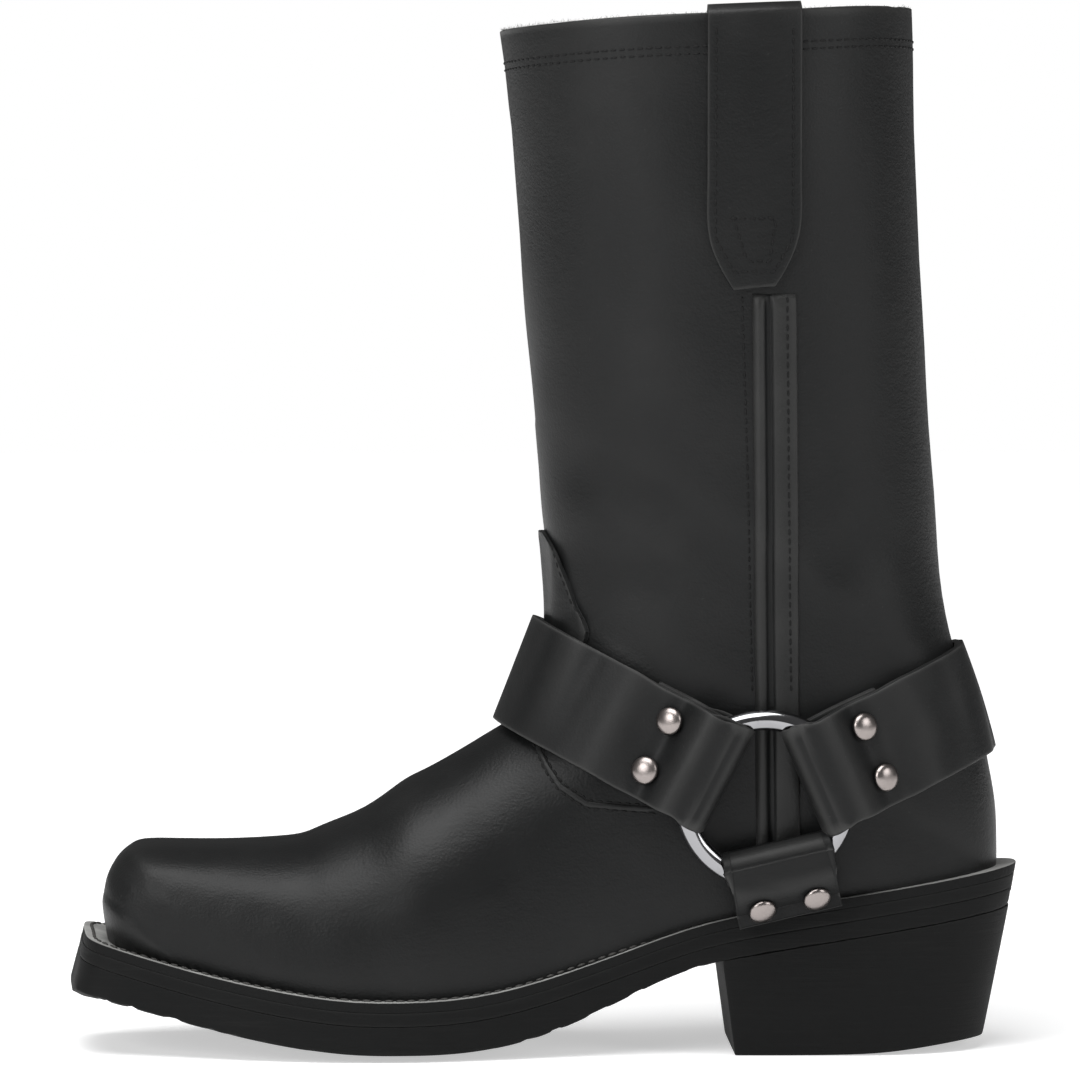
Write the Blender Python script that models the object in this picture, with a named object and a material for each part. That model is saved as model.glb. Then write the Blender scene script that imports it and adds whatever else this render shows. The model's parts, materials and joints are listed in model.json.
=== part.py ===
"""Pull-on harness boot: square toe, stacked heel, tall shaft and a ring harness on both sides.

Metres, +Z up, floor at z = 0. X runs from the toe at -X to the heel at +X. This is a left boot, so its
lateral side is at -Y and its medial side at +Y.
"""
import math

import bmesh
import bpy
import numpy as np
from mathutils.bvhtree import BVHTree

# Sole, in plan
SOLE_LENGTH = 0.306
TOE_WIDTH = 0.066
BALL_WIDTH = 0.103
WAIST_WIDTH = 0.064
HEEL_WIDTH = 0.068
TOE_ZONE = 0.034
HEEL_ZONE = 0.048
TOE_SQUARENESS = 4.5
HEEL_ROUNDNESS = 2.2
TOE_SKEW = 0.005

# Sole, from the side
TOE_SPRING = 0.0195
SEAT_HEIGHT = 0.0304
SOLE_THICKNESS = 0.0188
EDGE_LIFT = 0.0023
TIP_SLOPE = 0.0042
WELT_THICKNESS = 0.003
WELT_WIDTH = 0.016
MIDSOLE_THICKNESS = 0.004
INSOLE_THICKNESS = 0.003
LEDGE = 0.0050

# Heel block
BREAST_STATION = 0.686
BREAST_LEAN = 0.004
HEEL_BACK_LEAN = 0.0106
HEEL_TAPER = 0.956
HEEL_FLAT = 0.035
HEEL_ROCK = 0.0038

# Upper
WALL = 0.0024
INSTEP_RISE = 0.0807
SHAFT_HEIGHT = 0.2861
BACK_LEAN = 0.0278
COLLAR_DEPTH = 0.1316
COLLAR_WIDTH = 0.108
ANKLE_WIDTH = 0.078

# Harness
RING_X = 0.0695
RING_Z = 0.0823
RING_OUT = 0.0444
RING_LEAN = math.radians(6)
RING_DIAMETER = 0.057
RING_WIRE = 0.0066
STRAP_WIDTH = 0.035
SOLE_STRAP_WIDTH = 0.032
STRAP_THICKNESS = 0.0028
FOLD_THICKNESS = 0.0018
INSTEP_STRAP_ANGLE = math.radians(153.2)
HEEL_STRAP_ANGLE = math.radians(23.4)
SOLE_STRAP_ANGLE = math.radians(-77)
RIVET_REACH = 0.037
SOLE_RIVET_REACH = 0.0335
RIVET_SPACING = 0.0175
RIVET_DIAMETER = 0.0088
RIVET_HEIGHT = 0.0022
INNER_END = 0.0455
SOLE_STRAP_END = 0.038
SOLE_STRAP_INNER_END = 0.0335

# Pull straps and side seams
PULL_X = 0.0655
PULL_WIDTH = 0.029
PULL_THICKNESS = 0.002
PULL_LENGTH = 0.083
PULL_INSIDE = 0.055
PULL_TIP = 0.013
PULL_LOOP = 0.0045
SEAM_X = 0.0672
SEAM_DRIFT = 0.0022
SEAM_BEAD = 0.0016
SEAM_STRIP = 0.0009
SEAM_FOOT = 0.074
SEAM_HEIGHT = 0.168
SEAM_GAP = 0.0005

# Vamp's tongue on the front of the shaft
TONGUE_THICKNESS = 0.0013
TONGUE_TIP = 0.165
TONGUE_LENGTH = 0.039
TONGUE_DEPTH = 0.0125
TONGUE_CENTRE = 0.70
TONGUE_GAP = 0.0007
BISECTIONS = 24

# Clearance between pieces that touch
GAP = 0.0003

TOE_X = -SOLE_LENGTH / 2
LATERAL = -1
MEDIAL = 1


def table(columns, rows):
    """Return a dictionary of one numpy array for each named column."""
    names = columns.split()
    values = np.array(rows, dtype=float)
    return {name: values[:, place] for place, name in enumerate(names)}


# Half-widths of the outsole as shares of the named width beside them, by station from the toe
OUTLINE = table("station lateral medial width", [
    (0.000, 0.477, 0.523, TOE_WIDTH),
    (0.062, 0.485, 0.545, TOE_WIDTH),
    (0.118, 0.350, 0.398, BALL_WIDTH),
    (0.173, 0.408, 0.451, BALL_WIDTH),
    (0.229, 0.447, 0.495, BALL_WIDTH),
    (0.297, 0.479, 0.515, BALL_WIDTH),
    (0.353, 0.483, 0.500, BALL_WIDTH),
    (0.431, 0.437, 0.437, BALL_WIDTH),
    (0.529, 0.578, 0.555, WAIST_WIDTH),
    (0.614, 0.520, 0.492, WAIST_WIDTH),
    (0.696, 0.485, 0.470, HEEL_WIDTH),
    (0.827, 0.500, 0.500, HEEL_WIDTH),
    (1.000, 0.485, 0.485, HEEL_WIDTH),
])

# Underside of the outsole along its middle: shares of the toe spring and of the seat height
UNDERSIDE = table("station toe seat", [
    (0.000, 1.000, 0.000),
    (0.062, 0.769, 0.000),
    (0.118, 0.544, 0.000),
    (0.173, 0.333, 0.000),
    (0.229, 0.160, 0.000),
    (0.284, 0.035, 0.000),
    (0.314, 0.000, 0.000),
    (0.399, 0.000, 0.000),
    (0.431, 0.000, 0.023),
    (0.474, 0.000, 0.095),
    (0.515, 0.000, 0.230),
    (0.551, 0.000, 0.395),
    (0.613, 0.000, 0.743),
    (0.646, 0.000, 0.901),
    (0.686, 0.000, 1.000),
    (0.809, 0.000, 1.210),
    (1.000, 0.000, 1.516),
])

# Thickness of the whole sole, lift of its lower edge and width of its ledge, as shares of those sizes
BUILD_UP = table("station thickness lift ledge", [
    (0.00, 1.060, 1.00, 1.00),
    (0.10, 0.985, 1.00, 1.00),
    (0.20, 1.000, 1.00, 1.00),
    (0.35, 1.000, 1.00, 1.00),
    (0.47, 1.030, 0.95, 0.75),
    (0.53, 0.980, 0.75, 0.55),
    (0.58, 0.820, 0.35, 0.50),
    (0.64, 0.665, 0.00, 0.50),
    (0.69, 0.685, 0.00, 0.50),
    (0.80, 0.690, 0.00, 0.60),
    (1.00, 0.690, 0.00, 0.80),
])

# Ledge in front of the toe and behind the heel, as shares of the ledge at the sides
TOE_LEDGE = 1.5
BACK_LEDGE = 1.3

# Ridge of the foot from the toe's feather edge to the throat: station, and share of the instep's rise
FOOT_RIDGE = table("station rise", [
    (0.0408, 0.062),
    (0.0438, 0.147),
    (0.0461, 0.227),
    (0.0542, 0.303),
    (0.0660, 0.364),
    (0.0850, 0.415),
    (0.1600, 0.489),
    (0.2288, 0.552),
    (0.2572, 0.586),
    (0.2771, 0.632),
    (0.3118, 0.697),
    (0.3536, 0.810),
    (0.3954, 0.892),
    (0.4529, 1.000),
])

# Back line above the sole: height as a share of the shaft's, and lean as a share of the back's
BACK_LINE = table("height lean", [
    (0.079, 0.000),
    (0.147, 0.058),
    (0.208, 0.200),
    (0.254, 0.345),
    (0.313, 0.560),
    (0.348, 0.630),
    (0.460, 0.734),
    (0.572, 0.806),
    (0.796, 0.942),
    (1.000, 1.000),
])

# Front line of the shaft: height as a share of the shaft's, and depth as a share of the collar's
FRONT_LINE = table("height depth", [
    (0.229, 1.093),
    (0.254, 1.050),
    (0.285, 1.003),
    (0.331, 0.962),
    (0.437, 0.953),
    (0.572, 0.960),
    (0.705, 0.967),
    (0.908, 0.983),
    (0.979, 1.000),
])

# Sections of the upper, from the toe to the collar. ridge is a share of the ridge line. base runs 0 to 1
# along the side of the feather edge, 1 to 2 round the heel and 2 to 3 up the back line. lateral and
# medial are half-widths as shares of the width beside them, widest is the place of that width between
# base and ridge, low and high are the roundness below and above it, and shift is the ridge's offset.
SECTIONS = table("ridge base lateral medial width widest low high shift", [
    (0.000, 0.000, 0.3010, 0.3495, BALL_WIDTH, 0.02, 2.5, TOE_SQUARENESS, 0.025),
    (0.028, 0.030, 0.3223, 0.3660, BALL_WIDTH, 0.05, 2.5, 4.3, 0.025),
    (0.061, 0.058, 0.3437, 0.3922, BALL_WIDTH, 0.08, 2.5, 4.0, 0.026),
    (0.091, 0.098, 0.3718, 0.4155, BALL_WIDTH, 0.10, 2.5, 3.7, 0.028),
    (0.151, 0.152, 0.4058, 0.4563, BALL_WIDTH, 0.14, 2.5, 3.2, 0.032),
    (0.206, 0.210, 0.4330, 0.4757, BALL_WIDTH, 0.18, 2.4, 2.8, 0.036),
    (0.247, 0.254, 0.4485, 0.4835, BALL_WIDTH, 0.22, 2.3, 2.5, 0.036),
    (0.316, 0.330, 0.4563, 0.4738, BALL_WIDTH, 0.27, 2.2, 2.2, 0.032),
    (0.354, 0.406, 0.4369, 0.4417, BALL_WIDTH, 0.32, 2.2, 2.15, 0.025),
    (0.408, 0.531, 0.5000, 0.4940, ANKLE_WIDTH, 0.40, 2.2, 2.15, 0.016),
    (0.447, 0.688, 0.4634, 0.4573, ANKLE_WIDTH, 0.48, 2.2, 2.15, 0.010),
    (0.481, 0.866, 0.4573, 0.4549, ANKLE_WIDTH, 0.54, 2.2, 2.15, 0.006),
    (0.505, 1.000, 0.4634, 0.4634, ANKLE_WIDTH, 0.57, 2.25, 2.2, 0.004),
    (0.525, 1.300, 0.4756, 0.4756, ANKLE_WIDTH, 0.60, 2.3, 2.2, 0.002),
    (0.545, 1.650, 0.4878, 0.4878, ANKLE_WIDTH, 0.60, 2.3, 2.2, 0.001),
    (0.570, 2.000, 0.5000, 0.5000, ANKLE_WIDTH, 0.59, 2.3, 2.2, 0.0),
    (0.615, 2.093, 0.5122, 0.5122, ANKLE_WIDTH, 0.58, 2.3, 2.2, 0.0),
    (0.660, 2.187, 0.5305, 0.5305, ANKLE_WIDTH, 0.56, 2.3, 2.2, 0.0),
    (0.705, 2.263, 0.4167, 0.4167, COLLAR_WIDTH, 0.54, 2.2, 2.2, 0.0),
    (0.750, 2.350, 0.4306, 0.4306, COLLAR_WIDTH, 0.53, 2.2, 2.2, 0.0),
    (0.800, 2.483, 0.4491, 0.4491, COLLAR_WIDTH, 0.52, 2.2, 2.2, 0.0),
    (0.870, 2.665, 0.4722, 0.4722, COLLAR_WIDTH, 0.51, 2.2, 2.2, 0.0),
    (0.940, 2.865, 0.4907, 0.4907, COLLAR_WIDTH, 0.50, 2.2, 2.2, 0.0),
    (1.000, 3.000, 0.5000, 0.5000, COLLAR_WIDTH, 0.50, 2.2, 2.2, 0.0),
])
HEEL_SECTION = 15
TOE_SECTIONS = (1, 3)
LAST_DOUBLED = 18
BEND_SECTION = 10.25
COLUMNS = 13


def eased(x_values, y_values, x):
    """Read a smooth curve through points, with no overshoot between them (monotone cubic)."""
    x_values = np.asarray(x_values, dtype=float)
    y_values = np.asarray(y_values, dtype=float)
    step = np.diff(x_values)
    slope = np.diff(y_values) / step
    tangent = np.zeros(len(x_values))
    tangent[0] = slope[0]
    tangent[-1] = slope[-1]
    for place in range(1, len(slope)):
        before, after = slope[place - 1], slope[place]
        if before * after > 0:
            tangent[place] = 2 * before * after / (before + after)
    x = np.clip(x, x_values[0], x_values[-1])
    place = np.clip(np.searchsorted(x_values, x, side="right") - 1, 0, len(step) - 1)
    t = (x - x_values[place]) / step[place]
    start = (1 + 2 * t) * (1 - t) ** 2 * y_values[place] + t * (1 - t) ** 2 * step[place] * tangent[place]
    end = t * t * (3 - 2 * t) * y_values[place + 1] - t * t * (1 - t) * step[place] * tangent[place + 1]
    return start + end


def smooth_step(x):
    """Ease from 0 to 1 as x goes from 0 to 1."""
    x = np.clip(x, 0.0, 1.0)
    return x * x * (3 - 2 * x)


def station(x):
    """Share of the sole's length from the toe at X."""
    return (x - TOE_X) / SOLE_LENGTH


def place_at(share):
    """X at a share of the sole's length from the toe."""
    return TOE_X + share * SOLE_LENGTH


def underside(x):
    """Height of the outsole's underside along its middle."""
    share = station(x)
    toe = eased(UNDERSIDE["station"], UNDERSIDE["toe"], share) * TOE_SPRING
    seat = eased(UNDERSIDE["station"], UNDERSIDE["seat"], share) * SEAT_HEIGHT
    return toe + seat


def built_up(name, x):
    """A share from the build-up table at X."""
    return eased(BUILD_UP["station"], BUILD_UP[name], station(x))


def top_line(x):
    """Height of the sole's top, where the upper's feather edge stands."""
    return underside(x) + SOLE_THICKNESS * built_up("thickness", x)


def flank(side, x):
    """Half-width of the outsole on one side before its ends are rounded."""
    column = OUTLINE["lateral"] if side == LATERAL else OUTLINE["medial"]
    return eased(OUTLINE["station"], column * OUTLINE["width"], station(x))


def edge_point(side, zone, front=0.0, inward=0.0, back=0.0):
    """Plan point on an edge: zone 0 to 1 is the toe, 1 to 2 the side and 2 to 3 the heel.

    front, inward and back move the edge in at the toe, the sides and the heel.
    """
    toe_end = TOE_X + TOE_ZONE
    heel_start = -TOE_X - HEEL_ZONE
    if zone <= 1:
        angle = zone * math.pi / 2
        reach = toe_end - (TOE_X + front)
        share = math.cos(angle) ** (2 / TOE_SQUARENESS)
        x = toe_end - reach * share
        width = math.sin(angle) ** (2 / TOE_SQUARENESS)
    elif zone <= 2:
        x = toe_end + (zone - 1) * (heel_start - toe_end)
        share = 0.0
        width = 1.0
    else:
        angle = (3 - zone) * math.pi / 2
        x = heel_start + (-TOE_X - back - heel_start) * max(math.cos(angle), 0.0) ** (2 / HEEL_ROUNDNESS)
        share = 0.0
        width = math.sin(angle) ** (2 / HEEL_ROUNDNESS)
    y = side * (flank(side, x) - inward) * width
    x += TOE_SKEW * share * (0.5 - y / TOE_WIDTH)
    return np.array([x, y])


def feather_point(side, zone, extra=0.0):
    """Plan point of the upper's feather edge, moved in by extra."""
    x = edge_point(side, zone)[0]
    ledge = LEDGE * built_up("ledge", x)
    return edge_point(side, zone, TIP_SLOPE + TOE_LEDGE * LEDGE + extra, ledge + extra,
                      BACK_LEDGE * LEDGE + extra)


def on_sole(point, rise=GAP):
    """Stand a plan point on the sole's top."""
    return np.array([point[0], point[1], top_line(point[0]) + rise])


def remove_everything():
    """Start from an empty file."""
    for thing in list(bpy.data.objects):
        bpy.data.objects.remove(thing, do_unlink=True)


def material(name, colour, roughness, metallic=0.0):
    """Principled material with a plain colour."""
    finish = bpy.data.materials.new(name)
    finish.use_nodes = True
    shader = finish.node_tree.nodes["Principled BSDF"]
    shader.inputs["Base Color"].default_value = (*colour, 1.0)
    shader.inputs["Roughness"].default_value = roughness
    shader.inputs["Metallic"].default_value = metallic
    return finish


def solid(name, vertices, faces, finish, smooth_angle=40):
    """One closed object from vertices and faces, with doubles merged and faces turned outwards."""
    mesh = bpy.data.meshes.new(name)
    work = bmesh.new()
    corners = [work.verts.new(vertex) for vertex in vertices]
    for face in faces:
        work.faces.new([corners[corner] for corner in face])
    bmesh.ops.remove_doubles(work, verts=work.verts, dist=1e-6)
    bmesh.ops.dissolve_degenerate(work, edges=work.edges, dist=1e-6)
    bmesh.ops.recalc_face_normals(work, faces=work.faces)
    work.to_mesh(mesh)
    work.free()
    mesh.shade_smooth()
    mesh.set_sharp_from_angle(angle=math.radians(smooth_angle))
    mesh.materials.append(finish)
    body = bpy.data.objects.new(name, mesh)
    bpy.context.scene.collection.objects.link(body)
    return body


def slab(name, top, bottom, finish, closed=False):
    """Solid between two grids of points, rows by columns, which share their layout.

    closed joins the last row to the first, for a ring.
    """
    rows, columns = top.shape[:2]
    vertices = [tuple(point) for point in top.reshape(-1, 3)] + [tuple(point) for point in bottom.reshape(-1, 3)]
    under = rows * columns
    faces = []
    spans = rows if closed else rows - 1
    for row in range(spans):
        here = row * columns
        there = (row + 1) % rows * columns
        for column in range(columns - 1):
            quad = (here + column, there + column, there + column + 1, here + column + 1)
            faces.append(quad)
            faces.append(tuple(corner + under for corner in reversed(quad)))
        for column in (0, columns - 1):
            faces.append((here + column, there + column, there + column + under, here + column + under))
    if not closed:
        for row in (0, rows - 1):
            for column in range(columns - 1):
                first = row * columns + column
                faces.append((first, first + 1, first + 1 + under, first + under))
    return solid(name, vertices, faces, finish)


# Sole layers

TOE_ROWS = (0.11, 0.28, 0.45, 0.62, 0.79, 1.0)
HEEL_ROWS = (2.17, 2.34, 2.5, 2.64, 2.77, 2.87, 2.94)
FLANK_ROWS = 15
PLATE_COLUMNS = (-1.0, -0.62, 0.0, 0.62, 1.0)


def row_zones():
    """Zones of the rows along a sole piece, from the toe to the heel."""
    flanks = [1 + (place + 1) / FLANK_ROWS for place in range(FLANK_ROWS)]
    return list(TOE_ROWS) + flanks + list(HEEL_ROWS)


def layer_row(zone, front, back, inward=0.0):
    """Plan points across a sole piece at one row, from the lateral edge to the medial one."""
    lateral = edge_point(LATERAL, zone, front, inward, back)
    medial = edge_point(MEDIAL, zone, front, inward, back)
    middle = (lateral + medial) / 2
    return [middle + (medial - middle) * share if share > 0 else middle + (middle - lateral) * share
            for share in PLATE_COLUMNS]


def layer_depths():
    """Depth below the sole's top of each layer's upper and lower faces."""
    midsole = WELT_THICKNESS + GAP
    outsole = midsole + MIDSOLE_THICKNESS + GAP
    return {"welt": (0.0, WELT_THICKNESS), "midsole": (midsole, midsole + MIDSOLE_THICKNESS), "outsole": (outsole,)}


def slopes(x, depth):
    """How far the toe's end and the heel's back stand in at a depth below the sole's top."""
    share = depth / (SOLE_THICKNESS * built_up("thickness", x))
    seat_drop = SEAT_HEIGHT * UNDERSIDE["seat"][-1] + SOLE_THICKNESS * BUILD_UP["thickness"][-1]
    return TIP_SLOPE * (1 - min(share, 1.0)), HEEL_BACK_LEAN * depth / seat_drop


def layer_surface(depth, inward=0.0):
    """Grid of points at one depth below the sole's top."""
    rows = []
    for zone in row_zones():
        front, back = slopes(edge_point(LATERAL, zone)[0], depth)
        rows.append([(x, y, top_line(x) - depth) for x, y in layer_row(zone, front, back, inward)])
    return np.array(rows)


def outsole_underside():
    """Grid of points of the outsole's lower face, whose edges lift from the floor."""
    rows = []
    for zone in row_zones():
        x = edge_point(LATERAL, zone)[0]
        front, back = slopes(x, SOLE_THICKNESS * built_up("thickness", x))
        row = []
        for share, (x, y) in zip(PLATE_COLUMNS, layer_row(zone, front, back)):
            lift = EDGE_LIFT * built_up("lift", x) * (abs(share) == 1.0)
            row.append((x, y, underside(x) + lift))
        rows.append(row)
    return np.array(rows)


def make_midsole(finish):
    """Flat layer between welt and outsole."""
    upper_face, lower_face = layer_depths()["midsole"]
    return slab("midsole", layer_surface(upper_face), layer_surface(lower_face), finish)


def make_outsole(finish):
    """Bottom layer, with the toe spring, the arch and lifted edges."""
    return slab("outsole", layer_surface(layer_depths()["outsole"][0]), outsole_underside(), finish)


def welt_loop(zones, depth, inner):
    """Closed loop of points on the welt's outer or inner edge at one depth."""
    loop = []
    for side, order in ((LATERAL, zones), (MEDIAL, zones[::-1])):
        for zone in order:
            front, back = slopes(edge_point(side, zone)[0], depth)
            point = edge_point(side, zone, front, 0.0, back)
            if inner:
                point = feather_point(side, zone, WELT_WIDTH - LEDGE)
            loop.append((point[0], point[1], top_line(point[0]) - depth))
    return loop


def make_welt(finish):
    """Strip round the feather edge, which carries the upper and the insole's rim."""
    zones = row_zones()
    upper_face, lower_face = layer_depths()["welt"]
    top = np.stack([welt_loop(zones, upper_face, False), welt_loop(zones, upper_face, True)], axis=1)
    bottom = np.stack([welt_loop(zones, lower_face, False), welt_loop(zones, lower_face, True)], axis=1)
    return slab("welt", top, bottom, finish, closed=True)


def make_insole(finish):
    """Sock board on the welt, inside the upper's wall."""
    faces = []
    for rise, clearance in ((GAP + INSOLE_THICKNESS, 8 * GAP), (GAP, 5 * GAP)):
        rows = []
        for zone in row_zones():
            lateral = feather_point(LATERAL, zone, WALL + clearance)
            medial = feather_point(MEDIAL, zone, WALL + clearance)
            rows.append([on_sole(lateral + (medial - lateral) * share, rise) for share in (0.0, 0.5, 1.0)])
        faces.append(np.array(rows))
    return slab("insole", faces[0], faces[1], finish)


# Heel block

HEEL_LEVELS = (0.0, 0.33, 0.66, 1.0)
HEEL_SIDES = (1.0, 0.0, -1.0)


def heel_zones():
    """Zones of the rows of the heel block, from the breast to the back."""
    heel_start = -TOE_X - HEEL_ZONE
    toe_end = TOE_X + TOE_ZONE
    breast = 1 + (place_at(BREAST_STATION) - toe_end) / (heel_start - toe_end)
    return [breast, (breast + 2) / 2, 2.0] + list(HEEL_ROWS)


def heel_row(zone, level):
    """Points across the heel at a level from 0 at the floor to 1 under the outsole."""
    breast = place_at(BREAST_STATION)
    depth = SOLE_THICKNESS * built_up("thickness", breast)
    front, top_inset = slopes(edge_point(LATERAL, zone)[0], depth)
    lateral = edge_point(LATERAL, zone, front, 0.0, top_inset)
    medial = edge_point(MEDIAL, zone, front, 0.0, top_inset)
    back = -TOE_X - top_inset
    along = (lateral[0] - breast) / (back - breast)
    start = breast + BREAST_LEAN * (1 - level)
    end = -TOE_X - top_inset - (HEEL_BACK_LEAN - top_inset) * (1 - level)
    x = start + along * (end - start)
    taper = HEEL_TAPER + (1 - HEEL_TAPER) * level
    top = underside(lateral[0]) - GAP
    rock = HEEL_ROCK * smooth_step((x - start - HEEL_FLAT) / (end - start - HEEL_FLAT)) * (x > start + HEEL_FLAT)
    z = rock + (top - rock) * level
    return [(x, y * taper, z) for y in (lateral[1], (lateral[1] + medial[1]) / 2, medial[1])]


def make_heel(finish):
    """Stacked heel block with a leaning back and breast."""
    zones = heel_zones()
    grids = [np.array([heel_row(zone, level) for zone in zones]) for level in HEEL_LEVELS]
    rows, columns = grids[0].shape[:2]
    rim = [(row, 0) for row in range(rows)] + [(rows - 1, 1)]
    rim += [(row, columns - 1) for row in reversed(range(rows))] + [(0, 1)]
    vertices = []
    for grid in grids:
        vertices.extend(tuple(point) for point in grid.reshape(-1, 3))
    size = rows * columns
    faces = []
    for low in range(len(grids) - 1):
        for place, (row, column) in enumerate(rim):
            next_row, next_column = rim[(place + 1) % len(rim)]
            here = low * size + row * columns + column
            there = low * size + next_row * columns + next_column
            faces.append((here, there, there + size, here + size))
    for start in (0, (len(grids) - 1) * size):
        for row in range(rows - 1):
            for column in range(columns - 1):
                first = start + row * columns + column
                faces.append((first, first + 1, first + columns + 1, first + columns))
    return solid("heel", vertices, faces, finish)


# Upper

def along(points, shares):
    """Points at shares of the length of a line through points, on a smooth curve."""
    points = np.asarray(points, dtype=float)
    lengths = np.concatenate([[0.0], np.cumsum(np.linalg.norm(np.diff(points, axis=0), axis=1))])
    shares = np.atleast_1d(shares) * lengths[-1]
    return np.stack([eased(lengths, points[:, axis], shares) for axis in range(points.shape[1])], axis=1)


def back_point(height):
    """X and Z of the back line at a share of the shaft's height."""
    lean = eased(BACK_LINE["height"], BACK_LINE["lean"], height)
    seat = underside(place_at(BREAST_STATION)) + SOLE_THICKNESS * built_up("thickness", place_at(BREAST_STATION))
    heel_back = -TOE_X - BACK_LEDGE * LEDGE
    return np.array([heel_back - BACK_LEAN * lean, seat + height * SHAFT_HEIGHT])


def back_line():
    """Points of the back line from the feather edge to the collar."""
    heel_back = -TOE_X - BACK_LEDGE * LEDGE
    start = np.array([heel_back, top_line(heel_back) + GAP])
    return np.array([start] + [back_point(height) for height in BACK_LINE["height"]])


def ridge_line():
    """Points of the ridge from the toe's feather edge over the instep to the collar."""
    tip = feather_point(LATERAL, 0.0)
    points = [(tip[0], top_line(tip[0]) + GAP)]
    for share, rise in zip(FOOT_RIDGE["station"], FOOT_RIDGE["rise"]):
        x = place_at(share)
        points.append((x, top_line(x) + rise * INSTEP_RISE))
    for height, depth in zip(FRONT_LINE["height"], FRONT_LINE["depth"]):
        x, z = back_point(height)
        points.append((x - depth * COLLAR_DEPTH, z))
    return np.array(points)


def superellipse(angle, power):
    """Sine of an angle raised so that the curve is a superellipse of that power."""
    return np.maximum(np.sin(angle), 0.0) ** (2 / power)


class UpperForm:
    """Outer surface of the upper, read at a section number and a share from base to ridge."""

    def __init__(self):
        self.ridge = ridge_line()
        self.back = back_line()
        self.count = len(SECTIONS["ridge"])

    def value(self, name, place):
        """A column of the sections table at a section number."""
        return float(eased(np.arange(self.count), SECTIONS[name], place))

    def half_width(self, side, place):
        """Widest half-width at a section number."""
        name = "lateral" if side == LATERAL else "medial"
        widths = SECTIONS[name] * SECTIONS["width"]
        return float(eased(np.arange(self.count), widths, place))

    def base(self, side, place):
        """X, half-width and Z of the section's base."""
        base = self.value("base", place)
        if base <= 2:
            x, y = feather_point(side, 1 + base)
            return x, abs(y), top_line(x) + GAP
        x, z = along(self.back, base - 2)[0]
        return x, 0.0, z

    def half_section(self, side, place, samples=48):
        """Points of one half of a section, from its base to the ridge, evenly spaced."""
        ridge_x, ridge_z = along(self.ridge, self.value("ridge", place))[0]
        base_x, base_y, base_z = self.base(side, place)
        wide = max(self.half_width(side, place), base_y * 1.001)
        widest, low, high = (self.value(name, place) for name in ("widest", "low", "high"))
        start = math.asin(min((base_y / wide) ** (low / 2), 1.0))
        angles = np.linspace(start, math.pi / 2, samples)
        reach = widest / max(superellipse(math.pi / 2 - start, low), 1e-6)
        lower_t = widest - reach * superellipse(math.pi / 2 - angles, low)
        lower_w = wide * superellipse(angles, low)
        turns = np.linspace(0, math.pi / 2, samples)[1:]
        upper_t = widest + (1 - widest) * superellipse(turns, high)
        upper_w = wide * superellipse(math.pi / 2 - turns, high)
        t = np.concatenate([lower_t, upper_t])
        w = np.concatenate([lower_w, upper_w])
        shift = self.value("shift", place) * BALL_WIDTH
        points = np.stack([base_x + t * (ridge_x - base_x), side * w + shift * t * t,
                           base_z + t * (ridge_z - base_z)], axis=1)
        points[0] = (base_x, side * base_y, base_z)
        points[-1] = (ridge_x, shift, ridge_z)
        return points

    def feather_front(self, side, samples=95):
        """The first half-section: the feather edge round the front of the toe."""
        return np.array([on_sole(feather_point(side, zone)) for zone in np.linspace(1.0, 0.0, samples)])

    def row(self, place):
        """A whole section from the lateral base over the ridge to the medial base."""
        halves = []
        for side in (LATERAL, MEDIAL):
            points = self.half_section(side, place)
            if place < 1:
                front = self.feather_front(side, len(points))
                points = front + (points - front) * smooth_step(place)
            halves.append(resample(points, np.linspace(0, 1, COLUMNS + 1)))
        return np.concatenate([halves[0], halves[1][::-1][1:]])


def resample(points, shares):
    """Points at shares of the length of a polyline."""
    lengths = np.concatenate([[0.0], np.cumsum(np.linalg.norm(np.diff(points, axis=0), axis=1))])
    places = shares * lengths[-1]
    return np.stack([np.interp(places, lengths, points[:, axis]) for axis in range(3)], axis=1)


def section_places():
    """Section numbers of the upper's rows, closer at the toe, along the foot and where the sole bends."""
    places = []
    for place in range(len(SECTIONS["ridge"]) - 1):
        places.append(float(place))
        if TOE_SECTIONS[0] <= place < TOE_SECTIONS[1]:
            places.extend([place + 1 / 3, place + 2 / 3])
        elif TOE_SECTIONS[1] <= place < LAST_DOUBLED and place != HEEL_SECTION - 1:
            places.append(place + 0.5)
    return sorted(places + [BEND_SECTION, float(len(SECTIONS["ridge"]) - 1)])


def grid_normals(points, first_closed):
    """Outward normals of a grid whose rows are closed rings from first_closed on."""
    across = points[1:, 1:] - points[:-1, :-1]
    other = points[:-1, 1:] - points[1:, :-1]
    cells = np.cross(across, other)
    normals = np.zeros_like(points)
    normals[:-1, :-1] += cells
    normals[:-1, 1:] += cells
    normals[1:, :-1] += cells
    normals[1:, 1:] += cells
    seam = normals[first_closed:, 0] + normals[first_closed:, -1]
    normals[first_closed:, 0] = seam
    normals[first_closed:, -1] = seam
    return normals / np.linalg.norm(normals, axis=2, keepdims=True)


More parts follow.
